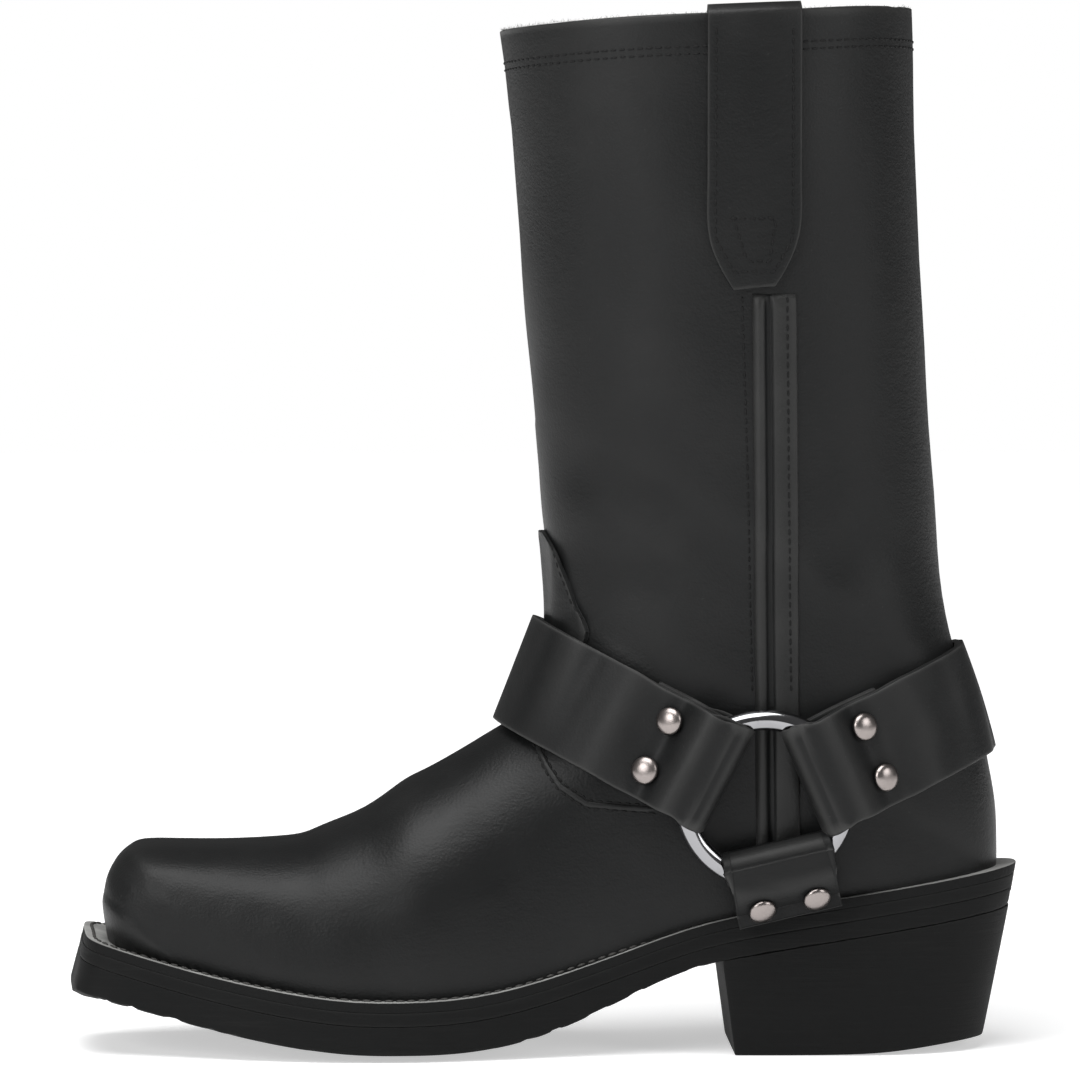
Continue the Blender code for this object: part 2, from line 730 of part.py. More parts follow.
def upper_grids(form):
    """Outer and inner grids of points of the upper, and the first row that is a closed ring."""
    places = section_places()
    outer = np.array([form.row(place) for place in places])
    closed = places.index(float(HEEL_SECTION))
    normals = grid_normals(outer, closed)
    collar = normals[-1].copy()
    rise = outer[-1] - outer[-2]
    rise /= np.linalg.norm(rise, axis=1, keepdims=True)
    collar -= rise * np.sum(collar * rise, axis=1, keepdims=True)
    normals[-1] = collar / np.linalg.norm(collar, axis=1, keepdims=True)
    inner = outer - normals * WALL
    zones = np.linspace(1.0, 0.0, 96)
    front = [resample(np.array([on_sole(feather_point(side, zone, WALL)) for zone in zones]),
                      np.linspace(0, 1, COLUMNS + 1)) for side in (LATERAL, MEDIAL)]
    inner[0] = np.concatenate([front[0], front[1][::-1][1:]])
    for row, place in enumerate(places[:closed + 1]):
        base = form.value("base", place)
        inner[row, 0] = on_sole(feather_point(LATERAL, 1 + base, WALL))
        inner[row, -1] = on_sole(feather_point(MEDIAL, 1 + base, WALL))
    return outer, inner, closed


def make_upper(form, finish):
    """Hollow upper in one piece, open at the collar and along the feather edge."""
    outer, inner, closed = upper_grids(form)
    rows, columns = outer.shape[:2]
    size = rows * columns
    vertices = [tuple(point) for point in outer.reshape(-1, 3)] + [tuple(point) for point in inner.reshape(-1, 3)]
    faces = []
    for row in range(rows - 1):
        for column in range(columns - 1):
            first = row * columns + column
            quad = (first, first + 1, first + columns + 1, first + columns)
            faces.append(quad)
            faces.append(tuple(corner + size for corner in reversed(quad)))
    for row in (0, rows - 1):
        for column in range(columns - 1):
            first = row * columns + column
            faces.append((first, first + 1, first + 1 + size, first + size))
    for row in range(closed):
        for column in (0, columns - 1):
            first = row * columns + column
            faces.append((first, first + columns, first + columns + size, first + size))
    return solid("upper", vertices, faces, finish)


# Surfaces that other pieces lie on

class Skin:
    """Finds the outer face of the pieces that the harness and the seams lie on."""

    FAR = 0.3

    def __init__(self, bodies):
        vertices = []
        faces = []
        for body in bodies:
            start = len(vertices)
            vertices.extend(vertex.co.copy() for vertex in body.data.vertices)
            faces.extend([corner + start for corner in face.vertices] for face in body.data.polygons)
        self.tree = BVHTree.FromPolygons(vertices, faces)

    def hit(self, centre, direction):
        """Outermost point on a ray from centre, and the cosine of the ray to the face."""
        direction = np.asarray(direction, dtype=float)
        direction = direction / np.linalg.norm(direction)
        start = np.asarray(centre) + direction * self.FAR
        place, normal, _, _ = self.tree.ray_cast(tuple(start), tuple(-direction))
        return np.array(place), abs(float(np.dot(normal, direction)))

    def lifted(self, centre, direction, rise):
        """Point at a distance above the outer face along a ray."""
        place, cosine = self.hit(centre, direction)
        direction = np.asarray(direction, dtype=float)
        return place + direction / np.linalg.norm(direction) * rise / max(cosine, 0.6)


# Harness

class RingFrame:
    """Ring's centre, its outward axis and directions in its plane, on one side of the boot."""

    def __init__(self, side):
        self.side = side
        self.centre = np.array([RING_X, side * RING_OUT, RING_Z])
        self.up = np.array([0.0, side * math.sin(RING_LEAN), math.cos(RING_LEAN)])
        self.out = np.array([0.0, side * math.cos(RING_LEAN), -math.sin(RING_LEAN)])

    def point(self, angle, reach, width, out):
        """Point at a reach along an angle in the ring's plane, across it and out from it."""
        ahead = math.cos(angle) * np.array([1.0, 0.0, 0.0]) + math.sin(angle) * self.up
        across = -math.sin(angle) * np.array([1.0, 0.0, 0.0]) + math.cos(angle) * self.up
        return self.centre + reach * ahead + width * across + out * self.out


def make_ring(name, side, finish, turns=36, sides=8):
    """Round-wire ring of the harness."""
    frame = RingFrame(side)
    radius = (RING_DIAMETER - RING_WIRE) / 2
    vertices = []
    for turn in range(turns):
        angle = 2 * math.pi * turn / turns
        for place in range(sides):
            around = 2 * math.pi * place / sides
            reach = radius + RING_WIRE / 2 * math.cos(around)
            vertices.append(tuple(frame.point(angle, reach, 0.0, RING_WIRE / 2 * math.sin(around))))
    faces = []
    for turn in range(turns):
        for place in range(sides):
            following = (turn + 1) % turns
            after = (place + 1) % sides
            faces.append((turn * sides + place, following * sides + place,
                          following * sides + after, turn * sides + after))
    return solid(name, vertices, faces, finish)


def ribbon(name, middle, thickness, finish):
    """Solid band round a grid of middle points, stations by columns, with a thickness at each station."""
    ahead = np.gradient(middle, axis=0)
    across = np.gradient(middle, axis=1)
    normals = np.cross(ahead, across)
    normals /= np.linalg.norm(normals, axis=2, keepdims=True)
    half = normals * np.asarray(thickness)[:, None, None] / 2
    return slab(name, middle + half, middle - half, finish)


FOLD_TURNS = (0.5, 0.3, 0.0, -0.3, -0.5)
BAND_COLUMNS = (-0.5, -0.25, 0.0, 0.25, 0.5)


class HarnessStrap:
    """Leather strap folded round the ring, with its layers riveted together."""

    def __init__(self, skin, angle, width):
        self.skin = skin
        self.angle = angle
        self.width = width
        self.level = RING_WIRE / 2 + GAP
        inner_radius = RING_DIAMETER / 2 - RING_WIRE
        corner = math.sqrt(inner_radius ** 2 - (width / 2 * self.pinch(0.0)) ** 2)
        self.fold_centre = corner - GAP + self.level

    def pinch(self, reach):
        """Share of the width at a reach from the ring's centre: the fold is drawn in a little."""
        return 0.935 + 0.065 * float(smooth_step((reach - 0.012) / 0.02))

    def fold(self, frame):
        """Middle points round the ring's wire, from the inner layer to the outer one."""
        radius = self.level + FOLD_THICKNESS / 2
        stations = []
        for turn in reversed(FOLD_TURNS):
            angle = turn * math.pi
            reach = self.fold_centre - radius * math.cos(angle)
            width = self.width * self.pinch(reach)
            stations.append([frame.point(self.angle, reach, share * width, radius * math.sin(angle))
                             for share in BAND_COLUMNS])
        return stations

    def surface_out(self, frame, point, rise):
        """Distance from the boot's middle plane to a layer that lies on the skin."""
        place = self.skin.lifted((point[0], 0.0, point[2]), (0.0, frame.side, 0.0), rise)
        return abs(place[1])

    def layer_row(self, frame, reach, rises, blend):
        """Middle points of the inner and the outer layer across the strap at a reach."""
        inner_row, outer_row = [], []
        width = self.width * self.pinch(reach)
        level = self.level + STRAP_THICKNESS / 2
        for share in BAND_COLUMNS:
            inner = frame.point(self.angle, reach, share * width, -level)
            outer = frame.point(self.angle, reach, share * width, level)
            floor = self.surface_out(frame, inner, rises[0])
            ceiling = self.surface_out(frame, outer, rises[1])
            inner_out = max((1 - blend) * abs(inner[1]) + blend * floor, floor)
            outer_out = max((1 - blend) * abs(outer[1]) + blend * ceiling, inner_out + STRAP_THICKNESS + 2 * GAP)
            inner_row.append(np.array([inner[0], frame.side * inner_out, inner[2]]))
            outer_row.append(np.array([outer[0], frame.side * outer_out, outer[2]]))
        return inner_row, outer_row

    def loop(self, frame, reaches, inner_reaches, start, finish_reach):
        """Stations from the inner layer's end round the ring and out along the outer layer."""
        single = 2 * GAP + STRAP_THICKNESS / 2
        double = single + STRAP_THICKNESS + 2 * GAP
        inner, outer = [], []
        for reach in reaches:
            blend = float(smooth_step((reach - start) / (finish_reach - start)))
            rows = self.layer_row(frame, reach, (single, double), blend)
            outer.append(rows[1])
            if reach in inner_reaches:
                inner.append(rows[0])
        return inner[::-1] + self.fold(frame) + outer

    def thicknesses(self, stations, folds):
        """Thickness at each station: thinner where the leather is drawn round the ring."""
        values = np.full(stations, STRAP_THICKNESS)
        for start in folds:
            values[start:start + len(FOLD_TURNS)] = FOLD_THICKNESS
        return values


LOOP_REACHES = (0.0195, 0.0235, 0.027, 0.0305, 0.034, 0.0375, 0.0415, INNER_END)
BAND_STEP = 8
BAND_TURNS = range(80, -81, -BAND_STEP)


class WrapStrap(HarnessStrap):
    """Strap that runs from the lateral ring round the boot to the medial ring."""

    def band_reach(self, centre, ahead, turn):
        """Direction of a turn, and the reach of the band's middle there over the skin on both sides of it."""
        single = 3 * GAP + STRAP_THICKNESS / 2
        extra = (STRAP_THICKNESS + GAP) * float(smooth_step((abs(turn) - 50) / 40))
        reaches = []
        for beside in (0.0, -0.5 * BAND_STEP, 0.5 * BAND_STEP):
            angle = math.radians(turn + beside)
            direction = ahead * math.cos(angle) + np.array([0.0, LATERAL * math.sin(angle), 0.0])
            point = self.skin.lifted(centre, direction, single + extra)
            reaches.append(float(np.dot(point - centre, direction)))
        angle = math.radians(turn)
        return ahead * math.cos(angle) + np.array([0.0, LATERAL * math.sin(angle), 0.0]), max(reaches)

    def band_row(self, turn):
        """Middle points across the band at a turn round the boot, 0 at its middle."""
        ahead = np.array([math.cos(self.angle), 0.0, math.sin(self.angle)])
        across = np.array([-math.sin(self.angle), 0.0, math.cos(self.angle)])
        reaches, centres = [], []
        for share in BAND_COLUMNS:
            centre = np.array([RING_X, 0.0, RING_Z]) + ahead * INNER_END + across * share * self.width
            direction, reach = self.band_reach(centre, ahead, turn)
            centres.append(centre)
            reaches.append(reach)
        flat = np.linspace(reaches[0], reaches[-1], len(reaches))
        return [centre + direction * max(reach, level) for centre, reach, level in zip(centres, reaches, flat)]

    def make(self, name, finish):
        """The strap as one solid."""
        halves = []
        for side in (LATERAL, MEDIAL):
            halves.append(self.loop(RingFrame(side), LOOP_REACHES, LOOP_REACHES, 0.026, 0.037))
        band = [self.band_row(turn) for turn in BAND_TURNS]
        stations = halves[0] + band + halves[1][::-1]
        first_fold = len(LOOP_REACHES)
        folds = (first_fold, len(stations) - first_fold - len(FOLD_TURNS))
        return ribbon(name, np.array(stations), self.thicknesses(len(stations), folds), finish)


class SoleStrap(HarnessStrap):
    """Short strap from the ring down to the edge of the sole."""

    REACHES = (0.0195, 0.0235, 0.027, 0.0305, SOLE_STRAP_INNER_END, SOLE_STRAP_END)

    def make(self, name, side, finish):
        """The strap as one solid."""
        stations = self.loop(RingFrame(side), self.REACHES, self.REACHES[:-1], 0.0265, 0.037)
        folds = (len(self.REACHES) - 1,)
        return ribbon(name, np.array(stations), self.thicknesses(len(stations), folds), finish)


RIVET_LEVELS = (0.0, 0.45, 0.8)


def make_rivet(name, skin, frame, angle, reach, width, finish, sides=8):
    """Domed rivet head on a strap's outer layer."""
    foot = frame.point(angle, reach, width, 0.0)
    direction = np.array([0.0, frame.side, 0.0])
    spread = RIVET_DIAMETER / 2
    around = [2 * math.pi * turn / sides for turn in range(sides)]
    middle = skin.hit((foot[0], 0.0, foot[2]), direction)[0]
    rim = [skin.hit((foot[0] + spread * math.cos(turn), 0.0, foot[2] + spread * math.sin(turn)), direction)[0]
           for turn in around]
    quarter = sides // 4
    out = np.cross(rim[0] - rim[2 * quarter], rim[quarter] - rim[3 * quarter])
    out *= np.sign(out[1] * frame.side) / np.linalg.norm(out)
    rise = max(float(np.dot(point - middle, out)) for point in rim + [middle]) + GAP
    right = np.cross(out, (0.0, 0.0, 1.0))
    right /= np.linalg.norm(right)
    up = np.cross(right, out)
    base = middle + out * rise
    vertices = []
    for level in RIVET_LEVELS:
        radius = spread * math.sqrt(1 - level ** 2)
        for turn in around:
            vertices.append(tuple(base + right * radius * math.cos(turn) + up * radius * math.sin(turn)
                                  + out * RIVET_HEIGHT * level))
    vertices.append(tuple(base + out * RIVET_HEIGHT))
    faces = [tuple(range(sides))]
    for level in range(len(RIVET_LEVELS) - 1):
        for turn in range(sides):
            after = (turn + 1) % sides
            low = level * sides
            faces.append((low + turn, low + after, low + sides + after, low + sides + turn))
    top = (len(RIVET_LEVELS) - 1) * sides
    for turn in range(sides):
        faces.append((top + turn, top + (turn + 1) % sides, top + sides))
    return solid(name, vertices, faces, finish)


# Pieces on the shaft

def make_pull_strap(name, skin, form, side, finish):
    """Pull strap folded over the collar, with a tapered end outside."""
    collar = form.row(len(SECTIONS["ridge"]) - 1)
    half = collar[:COLUMNS + 1] if side == LATERAL else collar[::-1][:COLUMNS + 1]
    order = np.argsort(half[:, 0])
    stations = []
    outside = np.linspace(0.0, 1.0, 9)
    columns = (-0.5, -0.25, 0.0, 0.25, 0.5)
    rise = 2 * GAP + PULL_THICKNESS / 2
    mouth = [float(np.interp(PULL_X + share * PULL_WIDTH, half[order, 0], half[order, 2])) for share in columns]
    for share in outside:
        height = PULL_LENGTH * (1 - share) + GAP * 4
        narrow = 0.5 + 0.5 * min((PULL_LENGTH - height) / PULL_TIP, 1.0)
        row = []
        for column, top in zip(columns, mouth):
            x = PULL_X + column * PULL_WIDTH * narrow
            z = top - height
            row.append(skin.lifted((x, 0.0, z), (0.0, side, 0.0), rise))
        stations.append(row)
    top_row = stations[-1]
    across = (WALL + 2 * rise) / 2
    for turn in (0.2, 0.5, 0.8):
        angle = turn * math.pi
        stations.append([point + np.array([0.0, -side * across * (1 - math.cos(angle)), PULL_LOOP * math.sin(angle)])
                         for point in top_row])
    for depth in np.linspace(0.0, PULL_INSIDE, 6):
        row = []
        for column, top in zip(columns, mouth):
            x = PULL_X + column * PULL_WIDTH
            place, cosine = skin.hit((x, 0.0, top - depth - GAP * 4), (0.0, side, 0.0))
            row.append(place - np.array([0.0, side * (WALL / cosine + rise), 0.0]))
        stations.append(row)
    return ribbon(name, np.array(stations), np.full(len(stations), PULL_THICKNESS), finish)


# Cross-section of the side seam, from its front to its back: place along X and height of its face
SEAM_PROFILE = (
    (-0.0030, 0.0004), (-0.0018, SEAM_BEAD * 0.8), (0.0, SEAM_BEAD), (0.0018, SEAM_BEAD * 0.8),
    (0.0030, 0.0004), (0.0042, SEAM_STRIP), (0.0115, SEAM_STRIP), (0.0122, 0.0004),
)


def make_side_seam(name, skin, side, finish, stations=18):
    """Piped seam up the side of the boot, a round bead beside a flat strip."""
    upper_face, lower_face = [], []
    for share in np.linspace(0.0, 1.0, stations):
        z = SEAM_FOOT + share * SEAM_HEIGHT
        x = SEAM_X + SEAM_DRIFT * (1 - share)
        upper_face.append([skin.lifted((x + place, 0.0, z), (0.0, side, 0.0), SEAM_GAP + height)
                           for place, height in SEAM_PROFILE])
        lower_face.append([skin.lifted((x + place, 0.0, z), (0.0, side, 0.0), SEAM_GAP)
                           for place, _ in SEAM_PROFILE])
    return slab(name, np.array(upper_face), np.array(lower_face), finish)


# Outline of the vamp's tongue: share of its length below the tip, and share of its depth from the front
TONGUE = table("drop depth", [
    (0.00, 0.07),
    (0.16, 0.32),
    (0.41, 0.53),
    (0.63, 0.73),
    (0.76, 1.00),
    (1.00, 0.88),
])


def tongue_angle(skin, centre, depth):
    """Angle round the shaft from its front at which its face lies a depth behind its front."""
    front = skin.hit(centre, (-1.0, 0.0, 0.0))[0]
    low, high = 0.0, math.pi / 2
    for _ in range(BISECTIONS):
        middle = (low + high) / 2
        place = skin.hit(centre, (-math.cos(middle), math.sin(middle), 0.0))[0]
        if place[0] - front[0] < depth:
            low = middle
        else:
            high = middle
    return low


def make_tongue(skin, finish, rows=11, columns=13):
    """Raised tongue of the vamp on the front of the shaft."""
    upper_face, lower_face = [], []
    for drop in np.linspace(0.0, 1.0, rows):
        depth = float(np.interp(drop, TONGUE["drop"], TONGUE["depth"])) * TONGUE_DEPTH
        centre = (place_at(TONGUE_CENTRE), 0.0, TONGUE_TIP - drop * TONGUE_LENGTH)
        side_angle = tongue_angle(skin, centre, depth)
        outer_row, inner_row = [], []
        for share in np.linspace(-1.0, 1.0, columns):
            angle = side_angle * share
            direction = (-math.cos(angle), math.sin(angle), 0.0)
            outer_row.append(skin.lifted(centre, direction, TONGUE_GAP + TONGUE_THICKNESS))
            inner_row.append(skin.lifted(centre, direction, TONGUE_GAP))
        upper_face.append(outer_row)
        lower_face.append(inner_row)
    return slab("vamp_tongue", np.array(upper_face), np.array(lower_face), finish)


def make_harness(skin_bodies, leather, chrome, nickel):
    """Rings, straps and rivets of the harness."""
    skin = Skin(skin_bodies)
    instep = WrapStrap(skin, INSTEP_STRAP_ANGLE, STRAP_WIDTH).make("instep_strap", leather)
    heel = WrapStrap(skin, HEEL_STRAP_ANGLE, STRAP_WIDTH).make("heel_strap", leather)
    for side, label in ((LATERAL, "lateral"), (MEDIAL, "medial")):
        frame = RingFrame(side)
        make_ring("ring_" + label, side, chrome)
        angle = SOLE_STRAP_ANGLE
        sole = SoleStrap(skin, angle, SOLE_STRAP_WIDTH).make("sole_strap_" + label, side, leather)
        seats = (("instep", instep, INSTEP_STRAP_ANGLE, RIVET_REACH),
                 ("heel", heel, HEEL_STRAP_ANGLE, RIVET_REACH),
                 ("sole", sole, SOLE_STRAP_ANGLE, SOLE_RIVET_REACH))
        for word, body, turn, reach in seats:
            on_strap = Skin([body])
            for number, share in enumerate((-0.5, 0.5), 1):
                width = share * RIVET_SPACING
                make_rivet(f"rivet_{word}_{label}_{number}", on_strap, frame, turn, reach, width, nickel)


def main():
    """Build every piece."""
    remove_everything()
    leather = material("black_leather", (0.035, 0.034, 0.034), 0.5)
    sole_rubber = material("sole_rubber", (0.045, 0.043, 0.042), 0.7)
    lining = material("insole_leather", (0.30, 0.24, 0.18), 0.8)
    chrome = material("chrome", (0.78, 0.78, 0.8), 0.1, 1.0)
    nickel = material("nickel", (0.62, 0.58, 0.57), 0.2, 1.0)
    form = UpperForm()
    upper = make_upper(form, leather)
    layers = [make_welt(sole_rubber), make_midsole(sole_rubber), make_outsole(sole_rubber)]
    make_heel(sole_rubber)
    make_insole(lining)
    skin = Skin([upper])
    covers = [upper, make_tongue(skin, leather)] + layers
    for side, label in ((LATERAL, "lateral"), (MEDIAL, "medial")):
        make_pull_strap("pull_strap_" + label, skin, form, side, leather)
        covers.append(make_side_seam("side_seam_" + label, skin, side, leather))
    make_harness(covers, leather, chrome, nickel)


main()
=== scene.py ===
"""Looks of a black harness boot: leather, sole layers, harness, stitching, light and camera.

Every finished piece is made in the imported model's own frame, in metres: -X points to the toe,
-Y to the lateral side of a left boot, and +Z up the shaft.
"""
import json
import logging
import math
from dataclasses import dataclass, field
from enum import Enum
from typing import Any, Iterable, Optional, Sequence, Union

import bmesh
import bpy
import numpy as np
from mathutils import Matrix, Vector
from mathutils.bvhtree import BVHTree

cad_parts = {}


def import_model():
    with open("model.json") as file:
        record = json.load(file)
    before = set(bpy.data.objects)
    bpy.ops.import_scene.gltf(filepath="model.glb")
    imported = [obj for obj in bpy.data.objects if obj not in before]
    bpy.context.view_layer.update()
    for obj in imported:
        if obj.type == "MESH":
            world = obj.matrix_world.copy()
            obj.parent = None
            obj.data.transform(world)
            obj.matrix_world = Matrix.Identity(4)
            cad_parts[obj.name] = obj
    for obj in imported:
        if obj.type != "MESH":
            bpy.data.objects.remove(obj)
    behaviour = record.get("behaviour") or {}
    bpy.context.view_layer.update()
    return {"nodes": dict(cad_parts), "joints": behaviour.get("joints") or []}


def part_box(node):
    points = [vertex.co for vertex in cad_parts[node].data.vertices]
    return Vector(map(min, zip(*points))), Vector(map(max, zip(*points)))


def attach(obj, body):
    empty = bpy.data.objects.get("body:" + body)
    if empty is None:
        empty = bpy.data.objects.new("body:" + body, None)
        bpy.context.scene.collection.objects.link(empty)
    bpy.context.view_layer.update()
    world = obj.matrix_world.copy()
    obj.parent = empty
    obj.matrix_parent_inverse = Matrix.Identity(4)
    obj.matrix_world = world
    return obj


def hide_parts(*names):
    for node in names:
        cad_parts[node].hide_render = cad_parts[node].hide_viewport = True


LOG = logging.getLogger("harness_boot")
BOOT = "boot"
Colour = tuple[float, float, float]
Material = bpy.types.Material
# A line seen from the side, as X and Z of its corners.
Line = tuple[tuple[float, float], ...]
# A place on a surface and the surface's normal there, and a row of such places.
Hit = tuple[np.ndarray, np.ndarray]
Row = list[Hit]


class Side(Enum):
    """Sides of the boot, by the sign of Y."""

    LATERAL = -1
    MEDIAL = 1

    @property
    def label(self) -> str:
        """Name of the side in the names of nodes."""
        return self.name.lower()


# Node trees

class Socket:
    """An output socket that takes part in Python arithmetic."""

    def __init__(self, tree: "NodeTree", output: bpy.types.NodeSocket) -> None:
        """Keep the socket and the tree that new nodes go into.

        Args:
            tree: The tree that the socket belongs to.
            output: The socket itself.
        """
        self.tree = tree
        self.output = output

    def _math(self, operation: str, *values: Any, clamp: bool = False) -> "Socket":
        """Add a Math node.

        Args:
            operation: The node's operation.
            *values: Its inputs in order.
            clamp: Whether the result is held between 0 and 1.

        Returns:
            The result.
        """
        prefix = self.tree.prefix
        return self.tree.node(prefix + "Math", {"operation": operation, "use_clamp": clamp},
                              dict(enumerate(values)))["Value"]

    def __add__(self, other: Any) -> "Socket":
        """Sum."""
        return self._math("ADD", self, other)

    __radd__ = __add__

    def __sub__(self, other: Any) -> "Socket":
        """Difference."""
        return self._math("SUBTRACT", self, other)

    def __mul__(self, other: Any) -> "Socket":
        """Product."""
        return self._math("MULTIPLY", self, other)

    __rmul__ = __mul__

    def capped(self, highest: float) -> "Socket":
        """The value, or the highest one allowed where it is larger."""
        return self._math("MINIMUM", self, highest)

    def between(self, low: float, high: float) -> "Socket":
        """Smooth step from 0 at low to 1 at high.

        Args:
            low: Value where the step starts.
            high: Value where the step ends.

        Returns:
            The step, from 0 to 1.
        """
        settings = {"interpolation_type": "SMOOTHSTEP"}
        values = {"Value": self, "From Min": low, "From Max": high, "To Min": 0.0, "To Max": 1.0}
        return self.tree.node("ShaderNodeMapRange", settings, values)["Result"]


class Outputs:
    """The outputs of one node, found by name or place."""

    def __init__(self, tree: "NodeTree", made: bpy.types.Node) -> None:
        """Keep the node.

        Args:
            tree: The tree that the node is in.
            made: The node.
        """
        self.tree = tree
        self.made = made

    def __getitem__(self, key: Union[str, int]) -> Socket:
        """Output socket by name or place."""
        return Socket(self.tree, self.made.outputs[key])


class NodeTree:
    """A shader or geometry tree that is written as calls."""

    def __init__(self, tree: bpy.types.NodeTree) -> None:
        """Start from an empty tree.

        Args:
            tree: Blender's tree.
        """
        self.tree = tree
        self.prefix = "ShaderNode"
        tree.nodes.clear()

    def node(self, kind: str, settings: Optional[dict[str, Any]] = None,
             values: Optional[dict[Union[str, int], Any]] = None) -> Outputs:
        """Add any node.

        Args:
            kind: Blender's name of the node type.
            settings: Properties that are set first; "stops" fills a colour ramp.
            values: Numbers, tuples or sockets for its inputs, by name or place.

        Returns:
            The node's outputs.
        """
        made = self.tree.nodes.new(kind)
        for name, value in (settings or {}).items():
            if name == "stops":
                elements = made.color_ramp.elements
                while len(elements) < len(value):
                    elements.new(0.5)
                for element, (place, colour) in zip(elements, value):
                    element.position = place
                    element.color = (*colour, 1.0)
            else:
                setattr(made, name, value)
        for name, value in (values or {}).items():
            target = made.inputs[name]
            if isinstance(value, Socket):
                self.tree.links.new(value.output, target)
            else:
                target.default_value = value
        return Outputs(self, made)

    def mix_colour(self, share: Any, first: Any, second: Any) -> Socket:
        """Mix two colours.

        Args:
            share: 0 gives the first and 1 the second.
            first: Colour or socket.
            second: Colour or socket.

        Returns:
            The mixed colour.
        """
        made = self.tree.nodes.new("ShaderNodeMix")
        made.data_type = "RGBA"
        for place, value in ((0, share), (6, first), (7, second)):
            target = made.inputs[place]
            if isinstance(value, Socket):
                self.tree.links.new(value.output, target)
            elif place == 0:
                target.default_value = value
            else:
                target.default_value = (*value, 1.0)
        return Socket(self, made.outputs[2])


class Surface(NodeTree):
    """A material's tree with patterns on Object coordinates."""

    def __init__(self, name: str) -> None:
        """Make an empty material.

        Args:
            name: The material's name.
        """
        self.material = bpy.data.materials.new(name)
        self.material.use_nodes = True
        super().__init__(self.material.node_tree)
        self.place = self.node("ShaderNodeTexCoord")["Object"]

    def scaled(self, stretch: Sequence[float]) -> Socket:
        """Object coordinates stretched along each axis.

        Args:
            stretch: Factors for X, Y and Z.

        Returns:
            The stretched coordinates.
        """
        return self.node("ShaderNodeMapping", {}, {"Vector": self.place, "Scale": tuple(stretch)})["Vector"]

    def noise(self, scale: float, detail: float = 3.0, rough: float = 0.5,
              where: Optional[Socket] = None) -> Socket:
        """Noise from 0 to 1.

        Args:
            scale: Features per metre.
            detail: Octaves.
            rough: Share of each following octave.
            where: Coordinates, or None for Object coordinates.

        Returns:
            The noise.
        """
        values = {"Vector": where or self.place, "Scale": scale, "Detail": detail, "Roughness": rough}
        return self.node("ShaderNodeTexNoise", {}, values)["Fac"]

    def cells(self, scale: float) -> Socket:
        """Distance from the middles of a Voronoi pattern with so many cells per metre."""
        return self.node("ShaderNodeTexVoronoi", {}, {"Vector": self.place, "Scale": scale})["Distance"]

    def attribute(self, name: str) -> Socket:
        """A mesh's own number, such as its wear."""
        return self.node("ShaderNodeAttribute", {"attribute_name": name})["Fac"]

    def bump(self, height: Socket, distance: float) -> Socket:
        """Bump from a height.

        Args:
            height: Height from 0 to 1.
            distance: What a height of 1 stands for, in metres.

        Returns:
            The bumped normal.
        """
        values = {"Height": height, "Strength": 1.0, "Distance": distance}
        return self.node("ShaderNodeBump", {}, values)["Normal"]

    def finish(self, colour: Any, roughness: Any, normal: Optional[Socket] = None,
               **fixed: Any) -> Material:
        """Close the tree with a Principled shader.

        Args:
            colour: Base colour or socket.
            roughness: Roughness or socket.
            normal: Bumped normal.
            **fixed: Other inputs, by name with _ for a space.

        Returns:
            The material.
        """
        base = colour if isinstance(colour, Socket) else (*colour, 1.0)
        values: dict[Union[str, int], Any] = {"Base Color": base, "Roughness": roughness}
        if normal is not None:
            values["Normal"] = normal
        for name, value in fixed.items():
            values[name.replace("_", " ")] = value
        shader = self.node("ShaderNodeBsdfPrincipled", {}, values)["BSDF"]
        self.node("ShaderNodeOutputMaterial", {}, {"Surface": shader})
        return self.material


# Finishes

@dataclass(frozen=True)
class LeatherFinish:
    """Waxy black leather with a fine grain, dull patches and greyed edges."""

    name: str = "waxy_black_leather"
    colour: Colour = (0.0048, 0.0051, 0.0052)
    greyed: Colour = (0.038, 0.038, 0.037)
    roughness: float = 0.44
    grain: float = 0.00009
    greying: float = 0.55
    specular: float = 0.20

    def build(self) -> Material:
        """Material of the finish."""
        tree = Surface(self.name)
        cloud = tree.noise(16.0, 4.0, 0.6)
        patch = tree.noise(60.0, 3.0)
        pebble = tree.cells(1150.0)
        pore = tree.noise(2600.0, 2.0, 0.6)
        crease = tree.noise(210.0, 5.0, 0.65, tree.scaled((1.0, 1.0, 2.2)))
        wear = tree.attribute("wear") * (0.35 + patch) * self.greying
        speck = tree.noise(900.0, 1.0).between(0.74, 0.80) * 0.22
        scuff = cloud.between(0.45, 0.75) * 0.10
        colour = tree.mix_colour((wear + speck + scuff).capped(1.0), self.colour, self.greyed)
        roughness = self.roughness + (cloud - 0.5) * 0.22 + (patch - 0.5) * 0.10
        height = pebble * 0.55 + pore * 0.35 + crease * 1.3
        normal = tree.bump(height, self.grain)
        return tree.finish(colour, roughness, normal, Specular_IOR_Level=self.specular)


@dataclass(frozen=True)
class EdgeFinish:
    """Raw cut edge of the leather, with grey fibres."""

    name: str = "raw_leather_edge"
    colour: Colour = (0.035, 0.035, 0.034)
    fibre: Colour = (0.20, 0.20, 0.195)

    def build(self) -> Material:
        """Material of the finish."""
        tree = Surface(self.name)
        fibres = tree.noise(700.0, 4.0, 0.7)
        colour = tree.mix_colour(fibres.between(0.42, 0.75), self.colour, self.fibre)
        return tree.finish(colour, 0.9, tree.bump(fibres, 0.0004))


